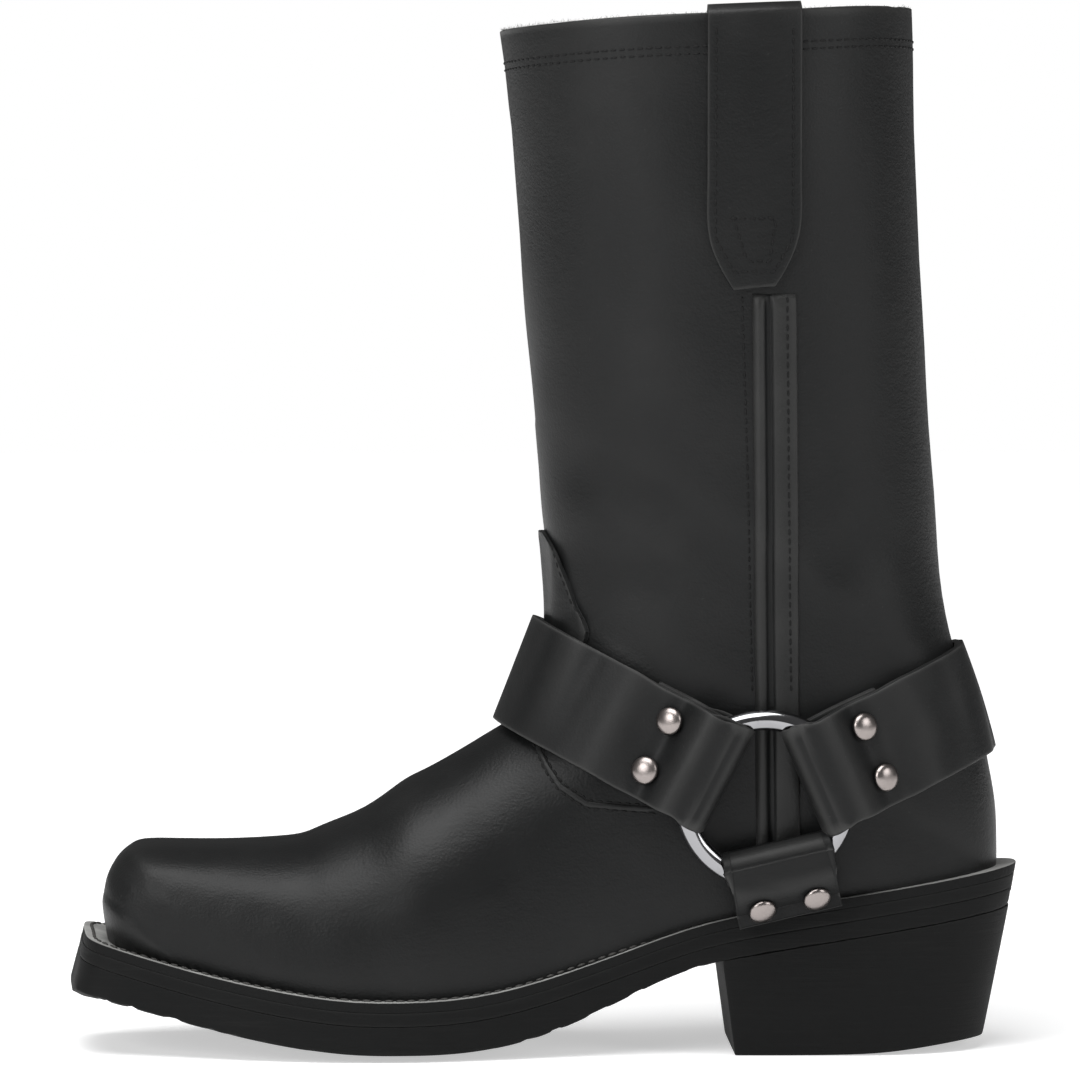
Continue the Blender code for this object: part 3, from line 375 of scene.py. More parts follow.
@dataclass(frozen=True)
class LiningFinish:
    """Plain tan leather of the lining and the insole."""

    name: str = "tan_lining"
    colour: Colour = (0.30, 0.21, 0.13)
    darker: Colour = (0.17, 0.11, 0.065)

    def build(self) -> Material:
        """Material of the finish."""
        tree = Surface(self.name)
        cloud = tree.noise(22.0, 5.0, 0.6)
        colour = tree.mix_colour(cloud.between(0.3, 0.75), self.colour, self.darker)
        return tree.finish(colour, 0.72 + (cloud - 0.5) * 0.2, tree.bump(tree.noise(1500.0, 3.0), 0.00012))


@dataclass(frozen=True)
class ThreadFinish:
    """Twisted sewing thread."""

    name: str = "black_thread"
    colour: Colour = (0.0035, 0.0035, 0.0036)
    lighter: Colour = (0.012, 0.012, 0.012)

    def build(self) -> Material:
        """Material of the finish."""
        tree = Surface(self.name)
        twist = tree.noise(1800.0, 2.0)
        colour = tree.mix_colour(twist, self.colour, self.lighter)
        return tree.finish(colour, 0.62, tree.bump(twist, 0.0001), Specular_IOR_Level=0.15)


@dataclass(frozen=True)
class MetalFinish:
    """Plated metal with faint handling marks."""

    name: str
    colour: Colour
    roughness: float
    marks: float = 0.08
    bump: float = 0.00001

    def build(self) -> Material:
        """Material of the finish."""
        tree = Surface(self.name)
        cloud = tree.noise(140.0, 4.0, 0.6)
        scratch = tree.noise(1200.0, 2.0, 0.5, tree.scaled((1.0, 1.0, 6.0)))
        marked = cloud.between(0.4, 0.8) + scratch.between(0.6, 0.8)
        roughness = marked * self.marks + self.roughness
        dull = tuple(0.82 * share for share in self.colour)
        colour = tree.mix_colour(cloud.between(0.45, 0.8), self.colour, dull)
        return tree.finish(colour, roughness, tree.bump(cloud, self.bump), Metallic=1.0)


@dataclass(frozen=True)
class SoleFinish:
    """Ground black sole edge: dull, with layer lines and grinding streaks that run along it."""

    name: str = "ground_black_sole"
    colour: Colour = (0.0036, 0.0038, 0.0038)
    dusty: Colour = (0.024, 0.024, 0.023)
    roughness: float = 0.66
    streaks: float = 0.00016
    dust: float = 0.35

    def build(self) -> Material:
        """Material of the finish."""
        tree = Surface(self.name)
        cloud = tree.noise(30.0, 5.0, 0.6)
        streak = tree.noise(110.0, 4.0, 0.65, tree.scaled((0.35, 0.35, 9.0)))
        grit = tree.noise(1700.0, 3.0, 0.6)
        wear = tree.attribute("wear") * (0.3 + cloud) * 0.8
        dust = (streak.between(0.5, 0.8) * 0.4 + cloud.between(0.5, 0.8) * 0.3 + wear) * self.dust
        colour = tree.mix_colour(dust, self.colour, self.dusty)
        normal = tree.bump(streak * 0.8 + grit * 0.35, self.streaks)
        return tree.finish(colour, self.roughness + (cloud - 0.5) * 0.2, normal, Specular_IOR_Level=0.14)


@dataclass(frozen=True)
class WeltFinish:
    """Welt of black leather with a painted highlight: faces that point up are mixed towards pale grey,
    unevenly.
    """

    name: str = "dusty_welt"
    colour: Colour = (0.0048, 0.0050, 0.0050)
    # Pale grey of the painted highlight on faces that point up.
    dusty: Colour = (0.38, 0.38, 0.37)

    def build(self) -> Material:
        """Material of the finish."""
        tree = Surface(self.name)
        cloud = tree.noise(60.0, 5.0, 0.65)
        grit = tree.noise(900.0, 4.0, 0.6)
        normal = tree.node("ShaderNodeNewGeometry")["Normal"]
        facing = tree.node("ShaderNodeSeparateXYZ", {}, {"Vector": normal})["Z"]
        # Painted highlight: the more a face points up, the paler grey it is coloured.
        dust = facing.between(0.5, 0.95) * (0.50 + cloud.between(0.25, 0.75) * 0.45)
        colour = tree.mix_colour(dust, self.colour, self.dusty)
        return tree.finish(colour, 0.72, tree.bump(grit, 0.00022), Specular_IOR_Level=0.15)


@dataclass(frozen=True)
class FloorFinish:
    """Pale studio floor with a painted glow: it gives off light, dimmer near the boot and brighter far from
    it.
    """

    name: str = "studio_floor"
    colour: Colour = (0.80, 0.80, 0.80)
    # Colours of the painted glow near the boot and far from it.
    near: Colour = (0.50, 0.50, 0.50)
    far: Colour = (0.92, 0.92, 0.92)

    def build(self) -> Material:
        """Material of the finish."""
        tree = Surface(self.name)
        cloud = tree.noise(0.8, 2.0)
        # Painted glow: the floor's own light grows with distance from the boot.
        reach = tree.node("ShaderNodeVectorMath", {"operation": "LENGTH"}, {0: tree.place})["Value"]
        painted_floor_glow = tree.mix_colour(reach.between(0.30, 1.20), self.near, self.far)
        return tree.finish(tree.mix_colour(cloud, self.colour, (0.79, 0.79, 0.795)), 0.85, None,
                           Specular_IOR_Level=0.1, Emission_Color=painted_floor_glow, Emission_Strength=1.0)


@dataclass
class Finishes:
    """The materials of the boot, built once."""

    leather: Material = field(default_factory=lambda: LeatherFinish().build())
    strap: Material = field(default_factory=lambda: LeatherFinish(
        name="harness_strap_leather", colour=(0.0060, 0.0063, 0.0064), greyed=(0.045, 0.045, 0.044),
        roughness=0.50, greying=0.8, grain=0.00007).build())
    edge: Material = field(default_factory=lambda: EdgeFinish().build())
    lining: Material = field(default_factory=lambda: LiningFinish().build())
    thread: Material = field(default_factory=lambda: ThreadFinish().build())
    pale_thread: Material = field(default_factory=lambda: ThreadFinish(
        name="pale_thread_fibre", colour=(0.16, 0.16, 0.155), lighter=(0.30, 0.30, 0.29)).build())
    welt_thread: Material = field(default_factory=lambda: ThreadFinish(
        name="dusty_welt_thread", colour=(0.028, 0.028, 0.027), lighter=(0.080, 0.078, 0.074)).build())
    chrome: Material = field(default_factory=lambda: MetalFinish(
        "ring_chrome", (0.32, 0.32, 0.33), 0.12).build())
    nickel: Material = field(default_factory=lambda: MetalFinish(
        "rivet_nickel", (0.30, 0.268, 0.256), 0.28, 0.10).build())
    sole: Material = field(default_factory=lambda: SoleFinish().build())
    heel: Material = field(default_factory=lambda: SoleFinish(
        name="heel_stack_black", streaks=0.00026, dust=0.30).build())
    welt: Material = field(default_factory=lambda: WeltFinish().build())


# Shapes

def quads(points: np.ndarray, closed: bool = False) -> list[tuple[int, ...]]:
    """Faces of a grid of points.

    Args:
        points: Rows by columns by 3.
        closed: Whether each row runs round.

    Returns:
        Corner numbers of each face.
    """
    rows, columns = points.shape[:2]
    last = columns if closed else columns - 1
    faces = []
    for row in range(rows - 1):
        for column in range(last):
            first = row * columns + column
            after = row * columns + (column + 1) % columns
            faces.append((first, after, after + columns, first + columns))
    return faces


class Piece:
    """A finished piece: its mesh is made in place and its object stays at the origin."""

    STEP_OUT = -1.05

    def __init__(self, name: str, vertices: Iterable[Sequence[float]],
                 faces: Iterable[Sequence[int]]) -> None:
        """Make the mesh.

        Args:
            name: Name of the piece.
            vertices: Points in metres.
            faces: Corner numbers of each face.
        """
        mesh = bpy.data.meshes.new(name)
        mesh.from_pydata([tuple(point) for point in vertices], [], [tuple(face) for face in faces])
        mesh.validate()
        self.object = bpy.data.objects.new(name, mesh)
        bpy.context.scene.collection.objects.link(self.object)

    @classmethod
    def from_node(cls, name: str, node: bpy.types.Object) -> "Piece":
        """Copy of a CAD node with its loose triangles merged into faces of four corners where they fit.

        Args:
            name: Name of the new piece.
            node: The CAD node.

        Returns:
            The piece.
        """
        shape = bmesh.new()
        shape.from_mesh(node.data)
        bmesh.ops.remove_doubles(shape, verts=shape.verts, dist=2e-6)
        bmesh.ops.join_triangles(shape, faces=shape.faces, angle_face_threshold=math.radians(25),
                                 angle_shape_threshold=math.radians(60))
        bmesh.ops.recalc_face_normals(shape, faces=shape.faces)
        piece = cls(name, [], [])
        shape.to_mesh(piece.object.data)
        shape.free()
        return piece

    def coordinates(self) -> np.ndarray:
        """The vertices as rows of X, Y and Z."""
        return self.rows_of(self.object.data.vertices, "co")

    def normals(self) -> np.ndarray:
        """The vertices' normals as rows of X, Y and Z."""
        return self.rows_of(self.object.data.vertex_normals, "vector")

    @staticmethod
    def rows_of(values: Any, key: str) -> np.ndarray:
        """A mesh's vectors as rows of X, Y and Z.

        Args:
            values: The mesh's list of them.
            key: The name that Blender gives to the vector.

        Returns:
            The rows.
        """
        flat = np.empty(len(values) * 3)
        values.foreach_get(key, flat)
        return flat.reshape(-1, 3)

    def edge_ends(self) -> tuple[np.ndarray, np.ndarray]:
        """Numbers of the first and the second vertex of each edge."""
        edges = self.object.data.edges
        ends = np.empty(len(edges) * 2, dtype=np.int64)
        edges.foreach_get("vertices", ends)
        first, second = ends.reshape(-1, 2).T
        return first, second

    def move(self, offsets: np.ndarray) -> "Piece":
        """Move every vertex by its own offset.

        Args:
            offsets: Rows of X, Y and Z.

        Returns:
            The piece.
        """
        mesh = self.object.data
        mesh.vertices.foreach_set("co", (self.coordinates() + offsets).ravel())
        mesh.update()
        return self

    def modifier(self, kind: str, **settings: Any) -> "Piece":
        """Add a modifier and apply it.

        Args:
            kind: Blender's type of modifier.
            **settings: Its properties.

        Returns:
            The piece.
        """
        added = self.object.modifiers.new(kind.title(), kind)
        for name, value in settings.items():
            setattr(added, name, value)
        return self.baked()

    def baked(self) -> "Piece":
        """Apply the modifiers that the piece has."""
        bpy.context.view_layer.update()
        evaluated = self.object.evaluated_get(bpy.context.evaluated_depsgraph_get())
        mesh = bpy.data.meshes.new_from_object(evaluated)
        self.object.modifiers.clear()
        self.replace_mesh(mesh)
        return self

    def rounded(self, width: float, levels: int, angle: float, fits: int = 2) -> "Piece":
        """Round the hard edges and smooth the rest.

        Args:
            width: Width of the rounding in metres.
            levels: Levels of subdivision.
            angle: Smallest angle of a hard edge in degrees.
            fits: Times that the smooth surface is brought back to its corners.

        Returns:
            The piece.
        """
        self.modifier("BEVEL", width=width, segments=2, limit_method="ANGLE",
                      angle_limit=math.radians(angle), use_clamp_overlap=True)
        return self.smoothed(levels, fits)

    def smoothed(self, levels: int, fits: int) -> "Piece":
        """Subdivide the piece so that its smooth surface still passes through its own corners.

        Args:
            levels: Levels of subdivision.
            fits: Times that the corners are corrected.

        Returns:
            The piece.
        """
        wanted = self.coordinates()
        count = len(wanted)
        kept = self.object.data.copy()
        guess = wanted.copy()
        for _ in range(fits):
            self.modifier("SUBSURF", levels=levels, render_levels=levels)
            guess = guess + (wanted - self.coordinates()[:count])
            fitted = kept.copy()
            fitted.vertices.foreach_set("co", guess.ravel())
            self.replace_mesh(fitted)
        bpy.data.meshes.remove(kept)
        return self.modifier("SUBSURF", levels=levels, render_levels=levels)

    def relaxed(self, weights: np.ndarray, rounds: int) -> "Piece":
        """Even out the vertices without shrinking the piece: a step in and a step out in each round.

        Args:
            weights: Share of the way to the middle of its neighbours that each vertex goes in a step.
            rounds: Number of rounds.

        Returns:
            The piece.
        """
        first, second = self.edge_ends()
        start = self.coordinates()
        points = start.copy()
        count = np.bincount(np.concatenate([first, second]), minlength=len(points))[:, None]
        for step in (1.0, self.STEP_OUT) * rounds:
            total = np.zeros_like(points)
            np.add.at(total, first, points[second])
            np.add.at(total, second, points[first])
            points += step * (total / count - points) * weights[:, None]
        self.move(points - start)
        return self

    def replace_mesh(self, mesh: bpy.types.Mesh) -> None:
        """Put another mesh in place of the piece's own."""
        old = self.object.data
        self.object.data = mesh
        bpy.data.meshes.remove(old)
        mesh.name = self.object.name

    def worn(self, reach: float = 1.0) -> "Piece":
        """Store how convex the surface is at each vertex, for wear along its edges.

        Args:
            reach: Factor on the wear.

        Returns:
            The piece.
        """
        points = self.coordinates()
        normals = self.normals()
        first, second = self.edge_ends()
        along = points[first] - points[second]
        length = np.maximum(np.linalg.norm(along, axis=1), 1e-7)
        bend = np.sum((normals[first] - normals[second]) * along, axis=1) / length
        total = np.zeros(len(points))
        count = np.full(len(points), 1e-9)
        for corner in (first, second):
            np.add.at(total, corner, bend)
            np.add.at(count, corner, 1.0)
        wear = np.clip(total / count * 3.0 * reach, 0.0, 1.0)
        store = self.object.data.attributes.new("wear", "FLOAT", "POINT")
        store.data.foreach_set("value", wear)
        return self

    def dress(self, body: str, slot: str, materials: Sequence[Material],
              replaces: Sequence[str] = ()) -> "Piece":
        """Give the piece its materials and its body, and hide the CAD nodes that it stands for.

        Args:
            body: The CAD body that it rides on.
            slot: Not used.
            materials: Its materials, by slot.
            replaces: Names of the CAD nodes.

        Returns:
            The piece.
        """
        mesh = self.object.data
        picks = [face.material_index for face in mesh.polygons]
        mesh.materials.clear()
        for material in materials:
            mesh.materials.append(material)
        mesh.polygons.foreach_set("material_index", picks)
        mesh.polygons.foreach_set("use_smooth", [True] * len(mesh.polygons))
        mesh.update()
        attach(self.object, body)
        if replaces:
            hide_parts(*replaces)
        LOG.info("%s: %d faces on %s", self.object.name, len(mesh.polygons), body)
        return self


class Skin:
    """Finds points on the outside of finished pieces."""

    FAR = 0.3

    def __init__(self, *pieces: Piece) -> None:
        """Read the pieces' faces.

        Args:
            *pieces: The pieces that things are laid on.
        """
        vertices: list[Vector] = []
        faces: list[list[int]] = []
        for piece in pieces:
            start = len(vertices)
            vertices.extend(vertex.co.copy() for vertex in piece.object.data.vertices)
            faces.extend([corner + start for corner in face.vertices] for face in piece.object.data.polygons)
        self.tree = BVHTree.FromPolygons(vertices, faces)

    def outermost(self, centre: Sequence[float], direction: Sequence[float]) -> Optional[Hit]:
        """Outermost point on a ray from a centre.

        Args:
            centre: Where the ray starts.
            direction: Its direction.

        Returns:
            The point and the face's normal, or None where the ray finds nothing.
        """
        way = np.asarray(direction, dtype=float)
        way = way / np.linalg.norm(way)
        start = np.asarray(centre, dtype=float) + way * self.FAR
        place, normal, _, _ = self.tree.ray_cast(tuple(start), tuple(-way))
        if place is None:
            return None
        facing = np.array(normal)
        if float(np.dot(facing, way)) < 0:
            facing = -facing
        return np.array(place), facing


# Repeated details, made by Geometry Nodes

class DetailTree(NodeTree):
    """A geometry tree with named inputs that ends in Realize Instances and Set Material."""

    def __init__(self, name: str, material: Material, sizes: dict[str, float], seed: int) -> None:
        """Make the tree's inputs.

        Args:
            name: Name of the tree.
            material: Material of the result.
            sizes: Names and values of its inputs.
            seed: Seed of anything random.
        """
        group = bpy.data.node_groups.new(name, "GeometryNodeTree")
        super().__init__(group)
        self.material = material
        self.sizes = sizes
        self.seed = seed
        interface = group.interface
        interface.new_socket("Geometry", in_out="INPUT", socket_type="NodeSocketGeometry")
        for label in sizes:
            interface.new_socket(label, in_out="INPUT", socket_type="NodeSocketFloat")
        interface.new_socket("Seed", in_out="INPUT", socket_type="NodeSocketInt")
        interface.new_socket("Geometry", in_out="OUTPUT", socket_type="NodeSocketGeometry")
        self.given = self.node("NodeGroupInput")

    def vector(self, x: Any, y: Any, z: Any) -> Socket:
        """A vector from three numbers or sockets."""
        return self.node("ShaderNodeCombineXYZ", {}, {"X": x, "Y": y, "Z": z})["Vector"]

    def named(self, name: str) -> Socket:
        """A vector attribute of the input mesh."""
        made = self.node("GeometryNodeInputNamedAttribute", {"data_type": "FLOAT_VECTOR"}, {"Name": name})
        return made["Attribute"]

    def along(self, step: str) -> Socket:
        """Points along the input's paths, as far apart as the input of that name says."""
        curve = self.node("GeometryNodeMeshToCurve", {}, {"Mesh": self.given["Geometry"]})["Curve"]
        return self.node("GeometryNodeResampleCurve", {"mode": "LENGTH"}, {
            "Curve": curve, "Length": self.given[step]})["Curve"]

    def upright(self) -> Socket:
        """Rotation that turns Z to the surface's normal."""
        return self.node("FunctionNodeAlignRotationToVector", {"axis": "Z"}, {
            "Vector": self.named("facing")})["Rotation"]

    def chance(self, low: float, high: float) -> Socket:
        """A random number for each point, from low to high."""
        return self.node("FunctionNodeRandomValue", {"data_type": "FLOAT"}, {
            2: low, 3: high, "Seed": self.given["Seed"]})[1]

    def instances(self, points: Socket, shape: Socket, rotation: Socket, scale: Socket) -> Socket:
        """The shape on every point, turned and stretched."""
        return self.node("GeometryNodeInstanceOnPoints", {}, {
            "Points": points, "Instance": shape, "Rotation": rotation, "Scale": scale})["Instances"]

    def close(self, geometry: Socket) -> None:
        """End the tree.

        Args:
            geometry: The instances.
        """
        real = self.node("GeometryNodeRealizeInstances", {}, {"Geometry": geometry})["Geometry"]
        smooth = self.node("GeometryNodeSetShadeSmooth", {}, {"Geometry": real})["Geometry"]
        dressed = self.node("GeometryNodeSetMaterial", {}, {"Geometry": smooth, "Material": self.material})
        self.node("NodeGroupOutput", {}, {"Geometry": dressed["Geometry"]})

    def apply(self, piece: Piece) -> Piece:
        """Run the tree on a piece and keep the plain mesh.

        Args:
            piece: The piece with the points or paths.

        Returns:
            The piece with its new mesh.
        """
        modifier = piece.object.modifiers.new("Detail", "NODES")
        modifier.node_group = self.tree
        for item in self.tree.interface.items_tree:
            if item.in_out == "INPUT" and item.name in self.sizes:
                modifier[item.identifier] = self.sizes[item.name]
            elif item.in_out == "INPUT" and item.name == "Seed":
                modifier[item.identifier] = self.seed
        return piece.baked()


def path_piece(name: str, rows: Sequence[Row]) -> Piece:
    """Paths on a surface as edges, with the surface's normal kept at each point.

    Args:
        name: Name of the piece.
        rows: Points and normals of each path.

    Returns:
        The piece.
    """
    points = [tuple(point) for row in rows for point, _ in row]
    facings = [tuple(normal) for row in rows for _, normal in row]
    edges = []
    start = 0
    for row in rows:
        edges.extend((start + place, start + place + 1) for place in range(len(row) - 1))
        start += len(row)
    piece = Piece(name, [], [])
    mesh = piece.object.data
    mesh.from_pydata(points, edges, [])
    store = mesh.attributes.new("facing", "FLOAT_VECTOR", "POINT")
    store.data.foreach_set("vector", np.array(facings).ravel())
    return piece


@dataclass
class StitchRun:
    """Rows of stitches that lie on a surface, each one a flat oval set partly into it."""

    name: str
    rows: list[Row]
    material: Material
    pitch: float = 0.0029
    length: float = 0.0023
    width: float = 0.00075
    height: float = 0.00042
    lift: float = 0.00012
    seed: int = 4

    def build(self) -> Piece:
        """Stitches of every row as one piece."""
        sizes = {"Pitch": self.pitch, "Length": self.length, "Width": self.width, "Height": self.height,
                 "Lift": self.lift}
        tree = DetailTree(self.name + "_tree", self.material, sizes, self.seed)
        given = tree.given
        facing = tree.named("facing")
        ball = tree.node("GeometryNodeMeshUVSphere", {}, {"Segments": 6, "Rings": 4, "Radius": 0.5})["Mesh"]
        shaped = tree.node("GeometryNodeTransform", {}, {
            "Geometry": ball,
            "Scale": tree.vector(given["Length"], given["Width"], given["Height"])})["Geometry"]
        tangent = tree.node("GeometryNodeInputTangent")["Tangent"]
        first = tree.node("FunctionNodeAlignRotationToVector", {"axis": "X"}, {"Vector": tangent})["Rotation"]
        turned = tree.node("FunctionNodeAlignRotationToVector", {"axis": "Z", "pivot_axis": "X"},
                           {"Rotation": first, "Vector": facing})["Rotation"]
        jitter = tree.chance(0.86, 1.08)
        placed = tree.instances(tree.along("Pitch"), shaped, turned, tree.vector(jitter, 1.0, jitter))
        rise = tree.node("ShaderNodeVectorMath", {"operation": "SCALE"}, {
            0: facing, "Scale": given["Lift"]})[0]
        lifted = tree.node("GeometryNodeTranslateInstances", {}, {
            "Instances": placed, "Translation": rise, "Local Space": False})["Instances"]
        tree.close(lifted)
        return tree.apply(path_piece(self.name, self.rows))


@dataclass
class FibreFringe:
    """Short loose fibres that stand up from a raw edge."""

    name: str
    row: Row
    material: Material
    spacing: float = 0.00045
    length: float = 0.0016
    width: float = 0.00007
    spread: float = 1.1
    seed: int = 9

    def build(self) -> Piece:
        """Fibres of the whole edge as one piece."""
        sizes = {"Spacing": self.spacing, "Length": self.length, "Width": self.width, "Spread": self.spread}
        tree = DetailTree(self.name + "_tree", self.material, sizes, self.seed)
        given = tree.given
        cone = tree.node("GeometryNodeMeshCone", {}, {
            "Vertices": 3, "Radius Top": given["Width"] * 0.3, "Radius Bottom": given["Width"],
            "Depth": given["Length"]})["Mesh"]
        low = tree.vector(given["Spread"] * -1.0, given["Spread"] * -1.0, 0.0)
        high = tree.vector(given["Spread"], given["Spread"], 6.28)
        lean = tree.node("FunctionNodeRandomValue", {"data_type": "FLOAT_VECTOR"},
                         {0: low, 1: high, "Seed": given["Seed"]})[0]
        swing = tree.node("FunctionNodeEulerToRotation", {}, {"Euler": lean})["Rotation"]
        turned = tree.node("FunctionNodeRotateRotation", {"rotation_space": "LOCAL"},
                           {"Rotation": tree.upright(), "Rotate By": swing})["Rotation"]
        size = tree.vector(1.0, 1.0, tree.chance(0.25, 1.0))
        tree.close(tree.instances(tree.along("Spacing"), cone, turned, size))
        return tree.apply(path_piece(self.name, [self.row]))


@dataclass
class RivetSet:
    """Domed rivet heads set on given places."""

    name: str
    places: Row
    material: Material
    diameter: float = 0.0088
    height: float = 0.0021

    PROFILE = ((1.0, 0.0), (1.0, 0.16), (0.96, 0.36), (0.86, 0.60), (0.66, 0.82), (0.36, 0.96), (0.0, 1.0))

    def build(self) -> Piece:
        """All the heads as one piece."""
        sizes = {"Diameter": self.diameter, "Height": self.height}
        tree = DetailTree(self.name + "_tree", self.material, sizes, 1)
        given = tree.given
        head = self.head()
        shape = tree.node("GeometryNodeObjectInfo", {"transform_space": "ORIGINAL"}, {
            "Object": head.object})["Geometry"]
        size = tree.vector(given["Diameter"], given["Diameter"], given["Height"])
        tree.close(tree.instances(given["Geometry"], shape, tree.upright(), size))
        piece = tree.apply(path_piece(self.name, [[place] for place in self.places]))
        bpy.data.objects.remove(head.object)
        return piece

    def head(self, sides: int = 40) -> Piece:
        """One head of diameter 1 and height 1, its foot on the origin.

        Args:
            sides: Faces round it.

        Returns:
            The head.
        """
        vertices: list[tuple[float, float, float]] = []
        for radius, height in self.PROFILE[:-1]:
            for turn in range(sides):
                angle = 2 * math.pi * turn / sides
                vertices.append((radius / 2 * math.cos(angle), radius / 2 * math.sin(angle), height))
        vertices.append((0.0, 0.0, 1.0))
        tip = len(vertices) - 1
        last = tip - sides
        faces: list[tuple[int, ...]] = [tuple(reversed(range(sides)))]
        faces.extend(quads(np.array(vertices[:-1]).reshape(-1, sides, 3), True))
        faces.extend((last + turn, last + (turn + 1) % sides, tip) for turn in range(sides))
        return Piece("rivet_head_pattern", vertices, faces)


# The boot's own pieces

@dataclass(frozen=True)
class SoftFold:
    """A soft trough or ridge of the leather along a line seen from the side, in metres of X and Z."""

    line: Line
    width: float
    depth: float
    sides: tuple[Side, ...] = (Side.LATERAL, Side.MEDIAL)

    def strength(self, points: np.ndarray) -> np.ndarray:
        """How far each point is pushed in.

        Args:
            points: Rows of X, Y and Z.

        Returns:
            Depth at each point, fading to nothing at the line's ends and beside it.
        """
        flat = points[:, (0, 2)]
        nearest = np.full(len(points), 1e9)
        share = np.zeros(len(points))
        count = len(self.line) - 1
        for place in range(count):
            start = np.array(self.line[place])
            way = np.array(self.line[place + 1]) - start
            along = np.clip((flat - start) @ way / float(way @ way), 0.0, 1.0)
            distance = np.linalg.norm(flat - start - along[:, None] * way, axis=1)
            closer = distance < nearest
            nearest = np.where(closer, distance, nearest)
            share = np.where(closer, (place + along) / count, share)
        fade = np.clip(np.minimum(share, 1.0 - share) * 4.0 + 0.25, 0.0, 1.0)
        wanted = np.isin(np.sign(points[:, 1]), [side.value for side in self.sides])
        return self.depth * np.exp(-(nearest / self.width) ** 2) * fade * wanted


@dataclass
class BootUpper:
    """The leather upper with its lining, raw collar edge, soft folds and seams."""

    finishes: Finishes
    node: bpy.types.Object
    rounding: float = 0.0006
    subdivisions: int = 2
    axis_x: float = 0.056
    foot_height: float = 0.050
    foot_ends: tuple[float, float] = (-0.108, 0.106)
    instep: float = 0.105
    collar_rows: tuple[float, float] = (0.0104, 0.0127)
    collar_heights: tuple[float, float] = (0.28, 0.345)
    toe_start: float = -0.112
    toe_heights: tuple[float, float] = (0.0385, 0.060)
    toe_rounds: int = 60
    unevenness: float = 0.00022
    rim_depth: float = 0.022
    wall_search: float = 0.007
    folds: tuple[SoftFold, ...] = (
        SoftFold(((-0.056, 0.068), (-0.048, 0.058), (-0.044, 0.048)), 0.008, 0.0004),
        SoftFold(((-0.030, 0.076), (-0.020, 0.064), (-0.014, 0.052)), 0.008, 0.0005),
        SoftFold(((0.008, 0.190), (0.024, 0.176), (0.044, 0.170)), 0.010, 0.0009),
        SoftFold(((0.006, 0.162), (0.022, 0.152), (0.046, 0.150)), 0.008, 0.0009),
        SoftFold(((0.008, 0.176), (0.028, 0.164), (0.050, 0.160)), 0.008, -0.0005),
        SoftFold(((0.112, 0.170), (0.098, 0.158), (0.084, 0.154)), 0.009, 0.0010),
        SoftFold(((0.114, 0.190), (0.100, 0.182), (0.086, 0.182)), 0.010, 0.0007),
        SoftFold(((0.018, 0.300), (0.022, 0.250), (0.020, 0.205)), 0.010, 0.0006),
        SoftFold(((0.098, 0.300), (0.094, 0.255), (0.098, 0.212)), 0.011, 0.0006),
    )

    def build(self) -> Piece:
        """The upper as one piece."""
        piece = Piece.from_node("boot_upper", self.node)
        piece.rounded(self.rounding, self.subdivisions, 60.0)
        self.fold(piece)
        self.even_toe(piece)
        self.sort_faces(piece)
        piece.worn(1.0)
        return piece.dress(BOOT, "leather", (self.finishes.leather, self.finishes.lining, self.finishes.edge),
                           ("upper",))

    def spine(self, points: np.ndarray) -> np.ndarray:
        """Middle of the boot beside each point."""
        middle = points * np.array([1.0, 0.0, 1.0])
        shaft = points[:, 2] > self.instep
        middle[:, 0] = np.where(shaft, self.axis_x, np.clip(points[:, 0], *self.foot_ends))
        middle[:, 2] = np.where(shaft, points[:, 2], self.foot_height)
        return middle

    def even_toe(self, piece: Piece) -> None:
        """Even out the leather at the front of the toe, clear of the feather edge and the corner above."""
        x, _, z = piece.coordinates().T
        front = np.clip((self.toe_start - x) / 0.015, 0.0, 1.0)
        above_edge = np.clip((z - self.toe_heights[0]) / 0.003, 0.0, 1.0)
        below_corner = np.clip((self.toe_heights[1] - z) / 0.006, 0.0, 1.0)
        piece.relaxed(0.5 * front * above_edge * below_corner, self.toe_rounds)

    def fold(self, piece: Piece) -> None:
        """Press the soft folds and a gentle unevenness into both faces of the wall."""
        points = piece.coordinates()
        normals = piece.normals()
        outward = np.sum((points - self.spine(points)) * normals, axis=1)
        normals = normals * np.where(outward < 0, -1.0, 1.0)[:, None]
        depth = np.zeros(len(points))
        for soft in self.folds:
            depth += soft.strength(points)
        x, y, z = points.T
        waves = (np.sin(x * 95 + 1.3 * np.sin(z * 41) + 0.7) * np.sin(z * 63 + y * 30)
                 + 0.6 * np.sin(z * 128 + x * 70 + np.sign(y)))
        depth += self.unevenness * waves * np.clip((z - 0.045) / 0.03, 0.0, 1.0)
        piece.move(-normals * depth[:, None])

    def sort_faces(self, piece: Piece) -> None:
        """Give the inside the lining and the rim of the collar the raw edge."""
        mesh = piece.object.data
        top = max(vertex.co.z for vertex in mesh.vertices)
        tree = Skin(piece).tree
        middles = np.array([tuple(face.center) for face in mesh.polygons])
        ways = middles - self.spine(middles)
        ways /= np.linalg.norm(ways, axis=1)[:, None]
        for face, middle, way in zip(mesh.polygons, middles, ways):
            faces_in = float(np.dot(way, np.array(face.normal))) < 0.15
            if middle[2] > top - self.rim_depth and face.normal.z > 0.45:
                face.material_index = 2
            elif faces_in and tree.ray_cast(middle + way * 0.0012, way, self.wall_search)[0] is not None:
                face.material_index = 1

    def collar_top(self, skin: Skin, angle: float) -> float:
        """Height of the collar at an angle round the shaft.

        Args:
            skin: Finds the upper's face.
            angle: 0 at the back, growing to the medial side.

        Returns:
            The height in metres.
        """
        way = (math.cos(angle), math.sin(angle), 0.0)
        low, high = self.collar_heights
        for _ in range(18):
            middle = (low + high) / 2
            hit = skin.outermost((self.axis_x, 0.0, middle), way)
            found = hit is not None and float(np.dot(hit[0] - np.array([self.axis_x, 0.0, middle]), way)) > 0
            low, high = (middle, high) if found else (low, middle)
        return low

